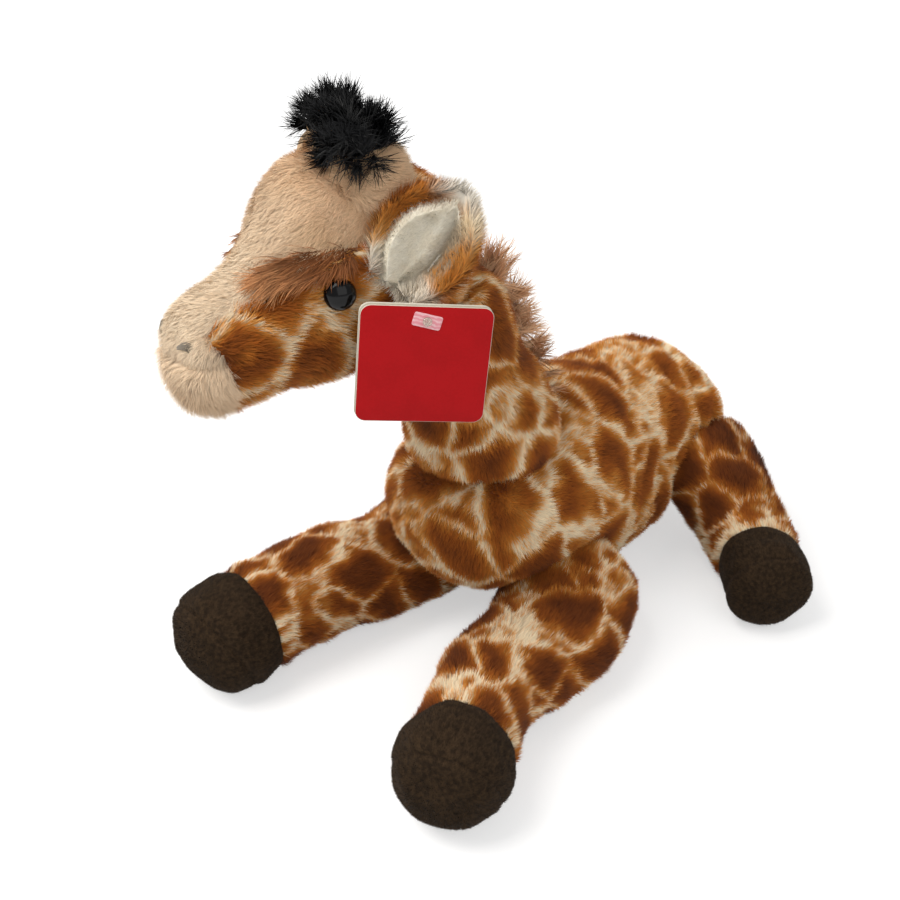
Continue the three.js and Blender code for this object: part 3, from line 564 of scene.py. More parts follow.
# Grows strands on a skin and makes both one plain mesh.
def growPile(obj, material, strand, **settings):
    modifier = obj.modifiers.new("pile", "NODES")
    modifier.node_group = pile
    values = {"Strand": strand, "Material": material, **settings}
    for item in pile.interface.items_tree:
        if item.in_out == "INPUT" and item.name in values:
            modifier[item.identifier] = values[item.name]
    graph = bpy.context.evaluated_depsgraph_get()
    grown = bpy.data.meshes.new_from_object(
        obj.evaluated_get(graph), preserve_all_data_layers=True, depsgraph=graph)
    obj.modifiers.clear()
    obj.data = grown
    places, skinNormals, ownNormals = np.empty((3, len(grown.vertices) * 3), np.float32)
    grown.vertices.foreach_get("co", places)
    places[2::3] = np.maximum(places[2::3], floorGap * mm)
    grown.vertices.foreach_set("co", places)
    grown.attributes["skinNormal"].data.foreach_get("vector", skinNormals)
    grown.vertex_normals.foreach_get("vector", ownNormals)
    for name in ("rootUv", "comb", "cover", "pileLength", "skinNormal"):
        if name in grown.attributes:
            grown.attributes.remove(grown.attributes[name])
    grown.update()
    soft = units(skinNormals.reshape(-1, 3) * pileShare + ownNormals.reshape(-1, 3) * (1 - pileShare))
    grown.normals_split_custom_set_from_vertices(soft.tolist())


# A piece is named for the node that it replaces and, after the last underscore, for what it is made of.
def finishPiece(obj, body):
    node = obj.name.rsplit("_", 1)[0]
    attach(obj, body)
    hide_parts(node)


def softPiece(name, form, body, slot, look, strand, fill=0.7, **settings):
    obj = form if isinstance(form, bpy.types.Object) else skinObject(name, form)
    growPile(obj, look, strand, **settings)
    finishPiece(obj, body)


def hardPiece(name, form, body, look):
    obj = skinObject(name, form)
    obj.data.materials.append(look)
    finishPiece(obj, body)


bodyPile = {"Strands": 3.6, "Length": 4.0, "Width": 0.42, "Lean": 0.6, "Tousle": 0.22, "TousleSize": 8.0,
            "Scatter": 0.16, "ClumpSize": 1.9, "ClumpPull": 0.3}
bodyFloor = 0.3      # height of the lowest skin of the legs, mm
bodyMargin = 5       # how deep a skin lies in its neighbour where no pile grows, mm

# Trunk

trunkSkin = {
    "length": 212, "width": 102, "height": 110, "bellyDepth": 2, "floor": 0.2, "settled": 2.2,
    "neckAt": (0.5, 0.86),  # shares of half the length and of the height
    "chest": (-50, -96),    # where the comb turns straight down, mm along the trunk
    "combDown": 0.35,
    "swells": ((38, 2.4), (15, 1.0)),
    "folds": {"apart": 14, "depth": 4.4, "sharpness": 2.2, "lean": -0.3, "wander": 11, "wanderSize": 26,
              "front": (-18, 8), "back": (84, 62), "foot": (14, 50)},
    "rows": [
        (0, 0, 0, 0.64), (0.04, 0.6, 0.43, 0.64), (0.115, 0.94, 0.7, 0.635), (0.21, 0.93, 0.88, 0.6),
        (0.33, 0.94, 1.02, 0.55), (0.475, 0.97, 1.13, 0.53), (0.62, 1, 1.12, 0.545), (0.745, 1, 0.91, 0.592),
        (0.853, 0.92, 0.77, 0.638), (0.935, 0.7, 0.57, 0.65), (0.98, 0.37, 0.33, 0.65), (1, 0, 0, 0.65),
    ],
}
rumpY = trunkSkin["length"] / 2
neckPivot = np.array([0, -rumpY, trunkSkin["height"]]) * [0, *trunkSkin["neckAt"]]


def trunkForm():
    path = [(0, rumpY, -trunkSkin["bellyDepth"]), (0, -rumpY, -trunkSkin["bellyDepth"])]
    form = swelling(path, trunkSkin["rows"], trunkSkin["width"] / 2, trunkSkin["height"] / 2, zAxis,
                    rise=trunkSkin["height"], steps=9, around=96, nap=-1)
    atChest = ease(*trunkSkin["chest"], form["points"][:, 1])[:, None]
    form["comb"] = (form["comb"] - trunkSkin["combDown"] * zAxis) * (1 - atChest) - zAxis * atChest
    return form


# Folds across the flanks in front of the thighs
def foldFlanks(form):
    folds = trunkSkin["folds"]
    points = form["points"]
    along = points[:, 1] + folds["lean"] * (points[:, 2] - trunkSkin["height"] / 2)
    wander = np.array([noise.noise(Vector(p) / folds["wanderSize"]) for p in points]) * folds["wander"]
    near = ease(*folds["front"], along) * ease(*folds["back"], along) * ease(*folds["foot"], points[:, 2])
    wave = np.abs(np.sin((along + wander) / folds["apart"] * math.pi))
    return settle(form, folds["depth"] * near * (1 - wave) ** folds["sharpness"])


# Neck

neckSkin = {
    "rise": 96, "radius": 31, "lean": 23.5, "root": 20, "settled": 2.2, "swells": ((26, 1.8), (11, 1.0)),
    "rows": [(0, 0.2), (0.02, 0.7), (0.1, 0.98), (0.2, 1.14), (0.3, 1.2), (0.42, 1.14), (0.56, 1.04), (0.72, 0.99),
             (0.88, 0.96), (1, 0.8)],
}
neckSlope = math.tan(math.radians(neckSkin["lean"]))
headPivot = neckPivot + np.array([0, -neckSkin["rise"] * neckSlope, neckSkin["rise"]])
neckWay = unit(headPivot - neckPivot)


def neckForm():
    return swelling([neckPivot - neckWay * neckSkin["root"], headPivot], neckSkin["rows"], neckSkin["radius"],
                    neckSkin["radius"], yAxis, steps=9, around=84, nap=-1)


# Head

headSkin = {
    "length": 139, "width": 72, "height": 100, "settled": 3.2, "swells": ((24, 0.8), (11, 0.4)),
    "turn": 12,       # to the toy's right, degrees
    "back": 0.144,    # share of the length behind the pivot
    "rows": [
        (0, 0, 0, 0.21), (0.04, 0.45, 0.3, 0.21), (0.13, 0.78, 0.58, 0.2), (0.23, 0.95, 0.78, 0.205),
        (0.345, 1, 0.92, 0.2), (0.46, 0.97, 0.95, 0.205), (0.561, 0.9, 0.96, 0.195), (0.64, 0.8, 0.87, 0.162),
        (0.715, 0.75, 0.65, 0.052), (0.806, 0.74, 0.57, -0.005), (0.892, 0.67, 0.5, -0.026),
        (0.964, 0.48, 0.37, -0.038), (1, 0, 0, -0.045),
    ],
    # seam of the tan face: along the head, height above its pivot
    "seam": [(0.83, -0.45), (0.85, -0.16), (0.87, 0.01), (0.9, 0.09), (0.9, 0.115), (0.85, 0.155),
             (0.745, 0.215), (0.66, 0.275), (0.56, 0.345), (0.45, 0.42), (0.34, 0.5), (0.2, 0.6)],
    "seamDepth": 1.2, "seamWidth": 2.2,
    "mouth": {"height": 0.5, "width": 2.4, "depth": 2.4, "ahead": (94, 104)},
    "wall": 1.6, "gap": 0.8,
}
forward = turned(-yAxis, zAxis, -headSkin["turn"])
leftward = turned(xAxis, zAxis, -headSkin["turn"])
headBack = headSkin["length"] * headSkin["back"]


def onHead(ahead, left, height):
    return headPivot + forward * ahead + leftward * left + zAxis * height


def aboutHead(points):
    away = points - headPivot
    return away @ forward, away @ leftward, away @ zAxis


def headForm():
    path = [onHead(-headBack, 0, 0), onHead(headSkin["length"] - headBack, 0, 0)]
    return swelling(path, headSkin["rows"], headSkin["width"] / 2, headSkin["height"] / 2, zAxis,
                    rise=headSkin["height"], steps=10, around=112, nap=-1)


def creaseMouth(form):
    mouth = headSkin["mouth"]
    ahead, _, height = aboutHead(form["points"])
    near = bell(height - mouth["height"], mouth["width"]) * ease(*mouth["ahead"], ahead)
    return settle(form, mouth["depth"] * near)


# Even and odd crossings tell which points lie inside an outline.
def insideOutline(points, outline):
    inside = np.zeros(len(points), bool)
    for (ax, ay), (bx, by) in zip(outline, np.roll(outline, -1, axis=0)):
        if ay != by:
            spans = (points[:, 1] > min(ay, by)) & (points[:, 1] <= max(ay, by))
            inside ^= spans & (points[:, 0] < ax + (points[:, 1] - ay) * (bx - ax) / (by - ay))
    return inside


# How far points lie on the face's side of its seam, mm
def pastSeam(points):
    ahead, _, height = aboutHead(points)
    here = np.stack([ahead, height], axis=1)
    seam = np.array(headSkin["seam"]) * [headSkin["length"], headSkin["height"]] - [headBack, 0]
    gaps = []
    for a, b in zip(seam[:-1], seam[1:]):
        t = np.clip(((here - a) @ (b - a)) / ((b - a) @ (b - a)), 0, 1)
        gaps.append(np.linalg.norm(here - (a + t[:, None] * (b - a)), axis=1))
    far = headSkin["length"] * 2
    region = np.vstack([seam, [-far, seam[-1, 1]], [-far, far], [far, far], [far, seam[0, 1]]])
    return np.min(gaps, axis=0) * np.where(insideOutline(here, region), 1, -1)


# Where a line out to the side from the middle of the head leaves it, and which way it faces there
def cheek(ahead, height, side):
    share = (ahead + headBack) / headSkin["length"]
    rows = smoothRows(headSkin["rows"], 16)
    _, wide, high, rise = rows[np.argmin(np.abs(rows[:, 0] - share))]
    drop = (height - rise * headSkin["height"]) / (high * headSkin["height"] / 2)
    reach = wide * headSkin["width"] / 2 * math.sqrt(max(0, 1 - drop * drop))
    outward = leftward * side * math.sqrt(max(0.04, 1 - drop * drop))
    outward = outward + zAxis * drop * headSkin["width"] / headSkin["height"]
    return onHead(ahead, side * reach, height), unit(outward)


def cheekOf(skin, side):
    return cheek(headSkin["length"] * skin["ahead"], headSkin["height"] * skin["level"], side)


# Legs

hoofEnd = [(0.76, 0.98, 0.97), (0.84, 1.03, 1.03), (0.92, 0.96, 0.96), (0.975, 0.6, 0.6), (1, 0, 0)]
legSkin = {
    "hoofLength": 40, "soleShare": 0.46, "soleTilt": 0.35, "settled": 2.0, "swells": ((24, 2.2), (10, 1.0)),
    "fullness": {"front_right": 1.06},
    "taper": {"front_left": 0.14, "front_right": 0.02},
    "heights": {"front_right": (20.5, 28.5)},  # of its knee and shin, where they aren't its pair's
    "shift": {"front": 0, "hind": -3.5},       # of its upper part along the trunk
    "stretches": (0.3, 0.35, 0.35),            # from the root to the knee, the shin and the hoof
    "hoofRise": 1.04, "hoofReach": 0.95,       # shares of the radius
    "taperEnd": 0.4, "taperLeast": -0.5, "hoofFrom": 0.8,
    "front": {
        "length": 148, "radius": 26, "rootBack": 13, "knee": 22.5, "shin": 25,
        "rows": [
            (0, 0, 0), (0.03, 0.6, 0.5), (0.09, 1.05, 0.8), (0.2, 1.26, 0.82), (0.36, 1.2, 0.86), (0.52, 1.1, 0.93),
            (0.66, 1, 0.97), (0.76, 0.99, 0.99), *hoofEnd[1:],
        ],
    },
    "hind": {
        "length": 91, "radius": 23.5, "rootBack": 0, "knee": 43, "shin": 25,
        "rows": [
            (0, 0, 0), (0.02, 0.8, 0.7), (0.08, 1.12, 1.04), (0.2, 1.2, 1.07), (0.36, 1.12, 1.03), (0.52, 1, 0.98),
            (0.66, 0.96, 0.95), *hoofEnd,
        ],
    },
    "headings": {
        "front_left": (20, 9, 26), "front_right": (9, 4, 1),
        "hind_left": (76, 64, 48), "hind_right": (104, 74, 58),
    },
    "pivots": {
        "front_left": (0.41, -0.28, 0.275), "front_right": (-0.35, -0.36, 0.275),
        "hind_left": (0.285, 0.76, 0.56), "hind_right": (-0.285, 0.76, 0.56),
    },
    "seams": ((2.2, 1.2), (1.4, 0.9)),  # width and depth at the hoof and at the sole
    "shifts": {"front": (0.7, 5.2, 2.2), "hind": (6.1, 1.9, 4.4)},
    "nap": {"Strands": 5.0, "Length": 1.1, "Width": 0.26, "Lean": 0.6, "Tousle": 0.1, "TousleSize": 6.0,
            "Scatter": 0.3, "ClumpSize": 2.0, "ClumpPull": 0.0},
}


def legWay(side, degrees):
    turn = math.radians(degrees)
    return np.array([side * math.sin(turn), -math.cos(turn), 0])


def legPath(name, side):
    end = name.split("_")[0]
    pair = legSkin[end]
    headings = legSkin["headings"][name]
    point = np.array(legSkin["pivots"][name]) * [trunkSkin["width"], rumpY, trunkSkin["height"]]
    places = [point - legWay(side, headings[0]) * pair["rootBack"], point] if pair["rootBack"] else [point]
    knee, shin = legSkin["heights"].get(name, (pair["knee"], pair["shin"]))
    heights = (knee, shin, pair["radius"] * legSkin["hoofRise"])
    for share, height, heading in zip(legSkin["stretches"], heights, headings):
        point = point + legWay(side, heading) * pair["length"] * share
        point[2] = height
        places.append(point)
    places[:-2] = [place + yAxis * legSkin["shift"][end] for place in places[:-2]]
    tip = point + legWay(side, headings[-1]) * pair["radius"] * legSkin["hoofReach"]
    tip[2] = pair["radius"]
    return smoothPath([*places, tip])


def legForm(name, side):
    pair = legSkin[name.split("_")[0]]
    radius = pair["radius"] * legSkin["fullness"].get(name, 1)
    taper = legSkin["taper"].get(name, 0)
    rows = []
    for along, wide, high in pair["rows"]:
        fuller = max(legSkin["taperLeast"], 1 - along / legSkin["taperEnd"])
        swell = 1 + taper * fuller * (along < legSkin["hoofFrom"])
        rows.append((along, wide * swell, high * swell))
    return ringForm(legPath(name, side), rows, radius, radius, zAxis, steps=12, nap=-1)


# The skins lie under the solids' outlines by about the height of their pile.
def settled(form, skin, seed):
    return settle(rumple(form, skin["swells"], seed), skin["settled"])


trunk = lieOnFloor(settle(foldFlanks(rumple(trunkForm(), trunkSkin["swells"], 1)), trunkSkin["settled"]),
                   trunkSkin["floor"])
neck = settled(neckForm(), neckSkin, 2)
head = creaseMouth(settled(headForm(), headSkin, 3))
legs = {}
for end in ("front", "hind"):
    for sideName, side in sides:
        name = f"{end}_{sideName}"
        legs[name] = lieOnFloor(settled(legForm(name, side), legSkin, 4 + len(legs)), bodyFloor)
creaseBeside(trunk, [neck, *legs.values()], 2.4)
creaseBeside(neck, [trunk], 1.6)
lieOnFloor(trunk, trunkSkin["floor"])
print("forms ready")


def dressTrunk():
    hide(trunk, bodyMargin, neck, *legs.values())
    thinBelow(trunk, 8, 30, least=0.3)
    softPiece("trunk_plush", trunk, "trunk", "patch_plush",
              printedPlush("trunkPrint", stretch=(0.8, 1.25, 0.8), shift=(3.1, 0.2, 1.7)), shortStrand,
              Seed=11, **bodyPile)


def dressNeck():
    hide(neck, bodyMargin, trunk, head)
    softPiece("neck_plush", neck, "neck", "patch_plush", printedPlush("neckPrint", shift=(1.3, 2.6, 0.4)),
              shortStrand, Seed=12, **bodyPile)


def dressLegs():
    looks = {end: printedPlush(f"{end}LegPrint", shift=shift, lines=0.6) for end, shift in legSkin["shifts"].items()}
    felt = plainPile("hoofFelt", paint(64, 49, 34), paint(44, 33, 23), rootShade=0.7, spread=0.8, size=2.2, sheen=0.04,
                     specular=0.1)
    for index, (name, form) in enumerate(legs.items()):
        end, sideName = name.split("_")
        total = form["length"]
        shares = [1 - legSkin["hoofLength"] / total, 1 - legSkin["hoofLength"] * legSkin["soleShare"] / total]
        path = legPath(name, dict(sides)[sideName])
        (seamAt, soleAt), (seamWay, soleWay), _ = alongPath(path, np.array(shares))
        soleWay = unit(soleWay - zAxis * legSkin["soleTilt"])
        normals = normalsOf(form)
        nearEnd = form["printPlace"][:, 1] > total * 0.5
        for at, way, (width, depth) in zip((seamAt, soleAt), (seamWay, soleWay), legSkin["seams"]):
            pinch = depth * bell((form["points"] - at) @ way, width) * nearEnd
            form["points"] = form["points"] - normals * pinch[:, None]
        lieOnFloor(form, bodyFloor)
        hide(form, bodyMargin, trunk)
        thinBelow(form, 3, 14, least=0.35)
        leg = cutAt(skinObject(f"leg_{name}_plush", form), seamAt, seamWay)
        hoof = cutAt(cutAt(skinObject(f"hoof_{name}_felt", form), seamAt, -seamWay), soleAt, soleWay)
        sole = cutAt(skinObject(f"sole_{name}_felt", form), soleAt, -soleWay)
        body = f"leg_{name}"
        softPiece(leg.name, leg, body, "patch_plush", looks[end], shortStrand, Seed=20 + index, **bodyPile)
        for obj, slot, seed in ((hoof, "hoof_felt", 40), (sole, "sole_felt", 50)):
            softPiece(obj.name, obj, body, slot, felt, shortStrand, fill=0.9, Seed=seed + index, **legSkin["nap"])


facePile = {**bodyPile, "Strands": 6.4, "Length": 5.0, "Width": 0.29, "Tousle": 0.2, "Scatter": 0.18,
            "ClumpSize": 2.4, "ClumpPull": 0.4, "TousleSize": 9.0}
nostrilSkin = {"length": 5.4, "thread": 0.34, "stitches": 5, "spread": 2.4, "ahead": 0.957 - headSkin["back"],
               "level": 0.09, "slope": 0.35, "steps": (-1, -0.5, 0, 0.4), "lifts": (-5.0, -2.9, -2.7, -4.8)}


def tanLook(name):
    return plainPile(name, paint(240, 207, 170), paint(226, 190, 150), pale=paint(255, 243, 220), rootShade=0.74,
                     spread=0.26, size=18)


# The face's pile runs forwards over the forehead, down the nose and back under the chin.
def faceComb(points):
    height = aboutHead(points)[2] + headSkin["height"] * 0.04
    return np.tanh(height / 12)[:, None] * forward - 0.6 * zAxis


# The head's own piece runs on under the face, a little lower. The face is a shell over it.
def dressHead():
    past = pastSeam(head["points"])
    middlePast = pastSeam(faceMiddles(head))
    normals = normalsOf(head)
    pinch = headSkin["seamDepth"] * bell(past, headSkin["seamWidth"])
    lower = (headSkin["wall"] + headSkin["gap"]) * ease(0, 2.5, past)
    hide(head, bodyMargin, neck)
    under = {**head, "points": head["points"] - normals * (pinch + lower)[:, None],
             "cover": head["cover"] * (middlePast < 0.4)}
    softPiece("head_plush", under, "head", "patch_plush", printedPlush("headPrint", shift=(0.3, 4.1, 2.0)),
              shortStrand, Seed=13, **{**bodyPile, "Length": 4.6})

    outer = head["points"] - normals * pinch[:, None]
    inner = outer - normals * headSkin["wall"]
    keep = middlePast > -0.2
    faces, uv = head["faces"][keep], head["uv"][keep]
    count = len(outer)
    edges = dict.fromkeys((p, q) for a, b, c, d in faces.tolist() for p, q in ((a, b), (b, c), (c, d), (d, a)))
    rimFaces = np.array([(q, p, p + count, q + count) for p, q in edges
                         if (q, p) not in edges and np.linalg.norm(outer[p] - outer[q]) > 1e-6])
    shell = {
        "points": np.vstack([outer, inner]),
        "faces": np.vstack([faces, faces[:, ::-1] + count, rimFaces]),
        "uv": np.concatenate([uv * 0.9, uv[:, ::-1] * [0.9, 0.1] + [0, 0.9],
                              np.full((len(rimFaces), 4, 2), 0.995)]),
        "comb": np.vstack([faceComb(head["points"])] * 2),
        "printPlace": np.vstack([head["points"]] * 2),
        "cover": np.concatenate([np.ones(len(faces)), np.zeros(len(faces) + len(rimFaces))]),
    }
    ahead, _, height = aboutHead(shell["points"])
    chin = ease(14, -14, height) * ease(70, 96, ahead)
    nostrils = [cheekOf(nostrilSkin, side)[0] for _, side in sides]
    nostril = np.min([np.linalg.norm(shell["points"] - spot, axis=1) for spot in nostrils], axis=0)
    shell["pileLength"] = (0.72 + 0.5 * chin) * (1 - 0.4 * ease(6.0, 2.0, nostril))
    shell["pale"] = np.clip(0.55 * ease(56, 88, ahead) - 0.35 * chin, 0, 1)
    face = skinObject("face_plush", shell)
    with editing(face.data) as bm:
        bmesh.ops.delete(bm, geom=[v for v in bm.verts if not v.link_faces], context="VERTS")
    softPiece(face.name, face, "head", "face_plush", tanLook("facePile"), shortStrand, Seed=14, **facePile)


dressTrunk()
dressNeck()
dressLegs()
dressHead()
print("body dressed")

# Eyes

eyeSkin = {"radius": 6.2, "dome": 4.6, "ahead": 0.42, "level": 0.222, "forwardTilt": 0.32, "sunk": 0.8}


def eyeAt(side):
    point, outward = cheekOf(eyeSkin, side)
    outward = unit(outward + forward * eyeSkin["forwardTilt"])
    return point - outward * eyeSkin["sunk"], outward


def makeEyes():
    look = newLook("eyePlastic", paint(8, 8, 10), roughness=0.12, specular=0.22)[0]
    radius, high = eyeSkin["radius"], eyeSkin["dome"]
    dome = [(radius * math.cos(a), high * math.sin(a)) for a in np.linspace(0, math.pi / 2, 14)[:-1]]
    for name, side in sides:
        rows = [(0, -high), (radius * 0.9, -high), *dome, (0, high)]
        hardPiece(f"eye_{name}_dome", turnedForm(rows, *eyeAt(side)), "head", look)


# Brows: long pile fanned out over the eyes

browSkin = {
    "length": 44, "width": 15, "thickness": 8, "above": 0.9, "slope": 0.6, "shares": (-0.22, 0.14, 0.5),
    "fanAbove": 17, "fanBehind": 4, "fanUnder": 2, "combDown": 0.22, "sunk": 2.6, "under": 2.6,
    "drop": {"left": 0, "right": 3}, "pileLength": {"left": 12.0, "right": 4.5},
    "pile": {"Strands": 7.0, "Width": 0.34, "Lean": 0.8, "Tousle": 0.26, "Scatter": 0.2, "ClumpSize": 2.6,
             "ClumpPull": 0.85, "Uneven": 0.4},
}


def makeBrows():
    look = plainPile("browPile", paint(158, 98, 56), paint(112, 64, 32), pale=paint(206, 146, 98), rootShade=0.6,
                     spread=0.5, size=3, sheen=0.06)
    width = browSkin["width"]
    for name, side in sides:
        ahead = headSkin["length"] * eyeSkin["ahead"]
        level = headSkin["height"] * eyeSkin["level"] + width * browSkin["above"] - browSkin["drop"][name]
        spots = [cheek(ahead + browSkin["length"] * share, level - width * share * browSkin["slope"], side)
                 for share in browSkin["shares"]]
        pad = swelling([point - outward * browSkin["under"] for point, outward in spots], padRows, width / 2,
                       browSkin["thickness"] / 2, spots[1][1], steps=5, around=32)
        settle(pad, browSkin["sunk"])
        eye, outward = eyeAt(side)
        fan = eye + zAxis * browSkin["fanAbove"] - forward * browSkin["fanBehind"] - outward * browSkin["fanUnder"]
        away = pad["points"] - fan
        distance = np.linalg.norm(away, axis=1)
        pad["comb"] = units(away) - zAxis * browSkin["combDown"]
        pad["pale"] = ease(8, 30, distance)
        pad["pileLength"] = 0.7 + 0.3 * ease(4, 26, distance)
        across = np.abs(pad["printPlace"][pad["faces"]].mean(axis=1)[:, 0]) / (width / 2)
        hide(pad, 2, head)
        pad["cover"] *= 0.35 + 0.65 * ease(0.95, 0.3, across)
        softPiece(f"brow_{name}_pile", pad, "head", "brow_pile", look, longStrand, Seed=60 + side,
                  Length=browSkin["pileLength"][name], **browSkin["pile"])


# Nostrils: a few satin stitches side by side

def makeNostrils():
    look = newLook("nostrilThread", paint(112, 102, 88), roughness=0.5, sheen=0.3)[0]
    for name, side in sides:
        bm = bmesh.new()
        for share in np.arange(nostrilSkin["stitches"]) / (nostrilSkin["stitches"] - 1) - 0.5:
            ahead = headSkin["length"] * (nostrilSkin["ahead"] - 0.012 * share)
            level = headSkin["height"] * nostrilSkin["level"] + share * nostrilSkin["spread"]
            reach = nostrilSkin["length"] * (0.5 - 0.25 * abs(share))
            line = []
            for step, lift in zip(nostrilSkin["steps"], nostrilSkin["lifts"]):
                point, outward = cheek(ahead + reach * step, level + reach * step * nostrilSkin["slope"], side)
                line.append(point + outward * lift)
            thread = skinObject("thread", swelling(line, [(0, 1), (1, 1)], nostrilSkin["thread"],
                                                   nostrilSkin["thread"], zAxis, steps=14, around=10))
            bm.from_mesh(thread.data)
            bpy.data.objects.remove(thread)
        mesh = bpy.data.meshes.new(f"nostril_{name}_stitch")
        bm.to_mesh(mesh)
        bm.free()
        mesh.shade_smooth()
        mesh.materials.append(look)
        finishPiece(newObject(mesh.name, mesh), "head")


# Horns and their tufts of long black pile

hornSkin = {
    "radius": 16, "height": 29, "spacing": 28, "ahead": 0.25, "foot": 0.44, "settled": 2.2, "swells": ((14, 0.8),),
    "rows": [(0, 0), (0.04, 0.8), (0.3, 1.06), (0.6, 1), (0.82, 0.84), (0.95, 0.48), (1, 0)],
    "tuftRadius": 7, "tuftAt": 0.95,
    "tufts": {"left": {"ahead": 0.278, "spacing": 0.5, "droop": 3},
              "right": {"ahead": 0.25, "spacing": 0.36, "droop": 0}},
    "tuftPile": {"Strands": 8.0, "Length": 12.0, "Width": 0.34, "Lean": 0.7, "Tousle": 0.26, "Scatter": 0.2,
                 "ClumpSize": 5.0, "ClumpPull": 1.9, "TousleSize": 11.0, "Uneven": 0.35},
}


def makeHorns():
    tan = tanLook("hornPile")
    black = plainPile("tuftPile", paint(14, 15, 18), paint(6, 7, 9), rootShade=0.6, spread=0.5, size=3,
                      sheen=0.0, roughness=0.5, specular=0.2)
    spacing, height, radius = hornSkin["spacing"], hornSkin["height"], hornSkin["tuftRadius"]
    level = headSkin["height"] * hornSkin["foot"]
    for name, side in sides:
        foot = onHead(headSkin["length"] * hornSkin["ahead"], side * spacing / 2, level)
        horn = swelling([foot, foot + zAxis * height], hornSkin["rows"], hornSkin["radius"], hornSkin["radius"],
                        yAxis, steps=6, around=48)
        horn["comb"] = zAxis * -0.2 - forward
        settled(horn, hornSkin, 30 + side)
        hide(horn, 3, head)
        softPiece(f"horn_{name}_pile", horn, "head", "face_plush", tan, shortStrand, Seed=70 + side,
                  **{**facePile, "Length": 4.2})
        tuft = hornSkin["tufts"][name]
        top = onHead(headSkin["length"] * tuft["ahead"], side * spacing * tuft["spacing"],
                     level + height * hornSkin["tuftAt"])
        low = top + (forward * 0.25 + leftward * 0.5 * side) * tuft["droop"] - zAxis * tuft["droop"]
        core = swelling([low - zAxis * radius, (low + top) / 2, top + zAxis * radius], padRows, radius * 1.15,
                        radius * 1.15, yAxis, steps=6, around=32)
        hanging = ease(0, -14, core["points"][:, 2:3] - top[2])
        core["comb"] = units(core["points"] - (top - zAxis * radius * 0.6)) - hanging * zAxis * 1.5
        hide(core, 1, horn)
        softPiece(f"horn_tuft_{name}_pile", core, "head", "tuft_pile", black, longStrand, Seed=74 + side,
                  **hornSkin["tuftPile"])


# Ears: a cupped leaf of patch plush with a lining of short pile

earSkin = {
    "length": 38, "width": 33.6, "cup": 10, "start": -0.12, "outer": 3.4, "lining": 1.8, "gap": 0.3, "roll": 4.5,
    "widths": [0.5, 0.74, 0.92, 1, 0.98, 0.86, 0.62, 0.26],
    "ahead": 0.245, "level": 0.26, "steps": 40, "around": 64,
    "poses": {"left": (54, 59), "right": (12, 58)},  # lift and sweep, degrees
    "liningPile": {"Strands": 7.0, "Length": 2.4, "Width": 0.26, "Lean": 0.5, "Tousle": 0.08, "Scatter": 0.22,
                   "ClumpPull": 0.15},
}


def earFrame(name, side):
    lift, sweep = (math.radians(degrees) for degrees in earSkin["poses"][name])
    level = leftward * side * math.cos(sweep) - forward * math.sin(sweep)
    out = level * math.cos(lift) + zAxis * math.sin(lift)
    toward = forward * 0.74 + leftward * side * 0.6
    face = unit(toward - out * (toward @ out))
    across = unit(np.cross(out, face))
    return {"root": cheekOf(earSkin, side)[0], "out": out, "face": face, "across": across,
            "rolledSide": math.copysign(1, across @ forward)}


def earPoint(ear, along, across, lift, width):
    spot = ear["root"] + ear["out"] * earSkin["length"] * (earSkin["start"] + (1 - earSkin["start"]) * along)
    curl = earSkin["cup"] * (1.15 - 0.5 * along)
    spot = spot + ear["across"] * across * width + ear["face"] * curl * (across * across - 0.35)
    normal = unit(ear["face"] - ear["across"] * 2 * curl * across / width)
    return spot + normal * lift


# Rings round the leaf, from its root to its tip, rounded at the rims
def earLeaf(ear, near, far, widthShare, lengthShare, rim=1.0, roll=0):
    shares = np.linspace(0, 1, len(earSkin["widths"]))
    rings = []
    for along in 1 - np.cos(np.linspace(0, math.pi / 2, earSkin["steps"])):
        along = math.sin(along * math.pi / 2)
        width = np.interp(along, shares, earSkin["widths"]) * earSkin["width"] / 2
        tipward, rootward = (math.sqrt(max(0, 1 - max(0, share) ** 2))
                             for share in ((along - 0.8) / 0.2, (0.06 - along) / 0.06))
        close = tipward * rootward
        ring = []
        for a in roundAngles(earSkin["around"]):
            across = math.cos(a) * widthShare * max(tipward, 0.02)
            half = (far - near) / 2 * close * math.copysign(abs(math.sin(a)) ** 0.6, math.sin(a))
            thick = 1 + (rim - 1) * abs(math.cos(a)) ** 3
            rolled = roll * close * float(ease(-0.42, -0.14, across * ear["rolledSide"]))
            lift = (near + far) / 2 + half * thick + rolled * (1 if half > 0 else 0)
            ring.append(earPoint(ear, along * lengthShare, across, lift, max(width, 3)))
        rings.append(ring)
    rings = np.array(rings)
    for end in (0, -1):
        rings[end] = rings[end].mean(axis=0)
    return formOf(rings, ear["out"])


# How far round to the leaf's front its faces are: 1 in front, 0 at the rims, -1 behind
def earFront(form):
    around = earSkin["around"]
    return np.sin((np.arange(len(form["faces"])) % around + 0.5) / around * 2 * math.pi)


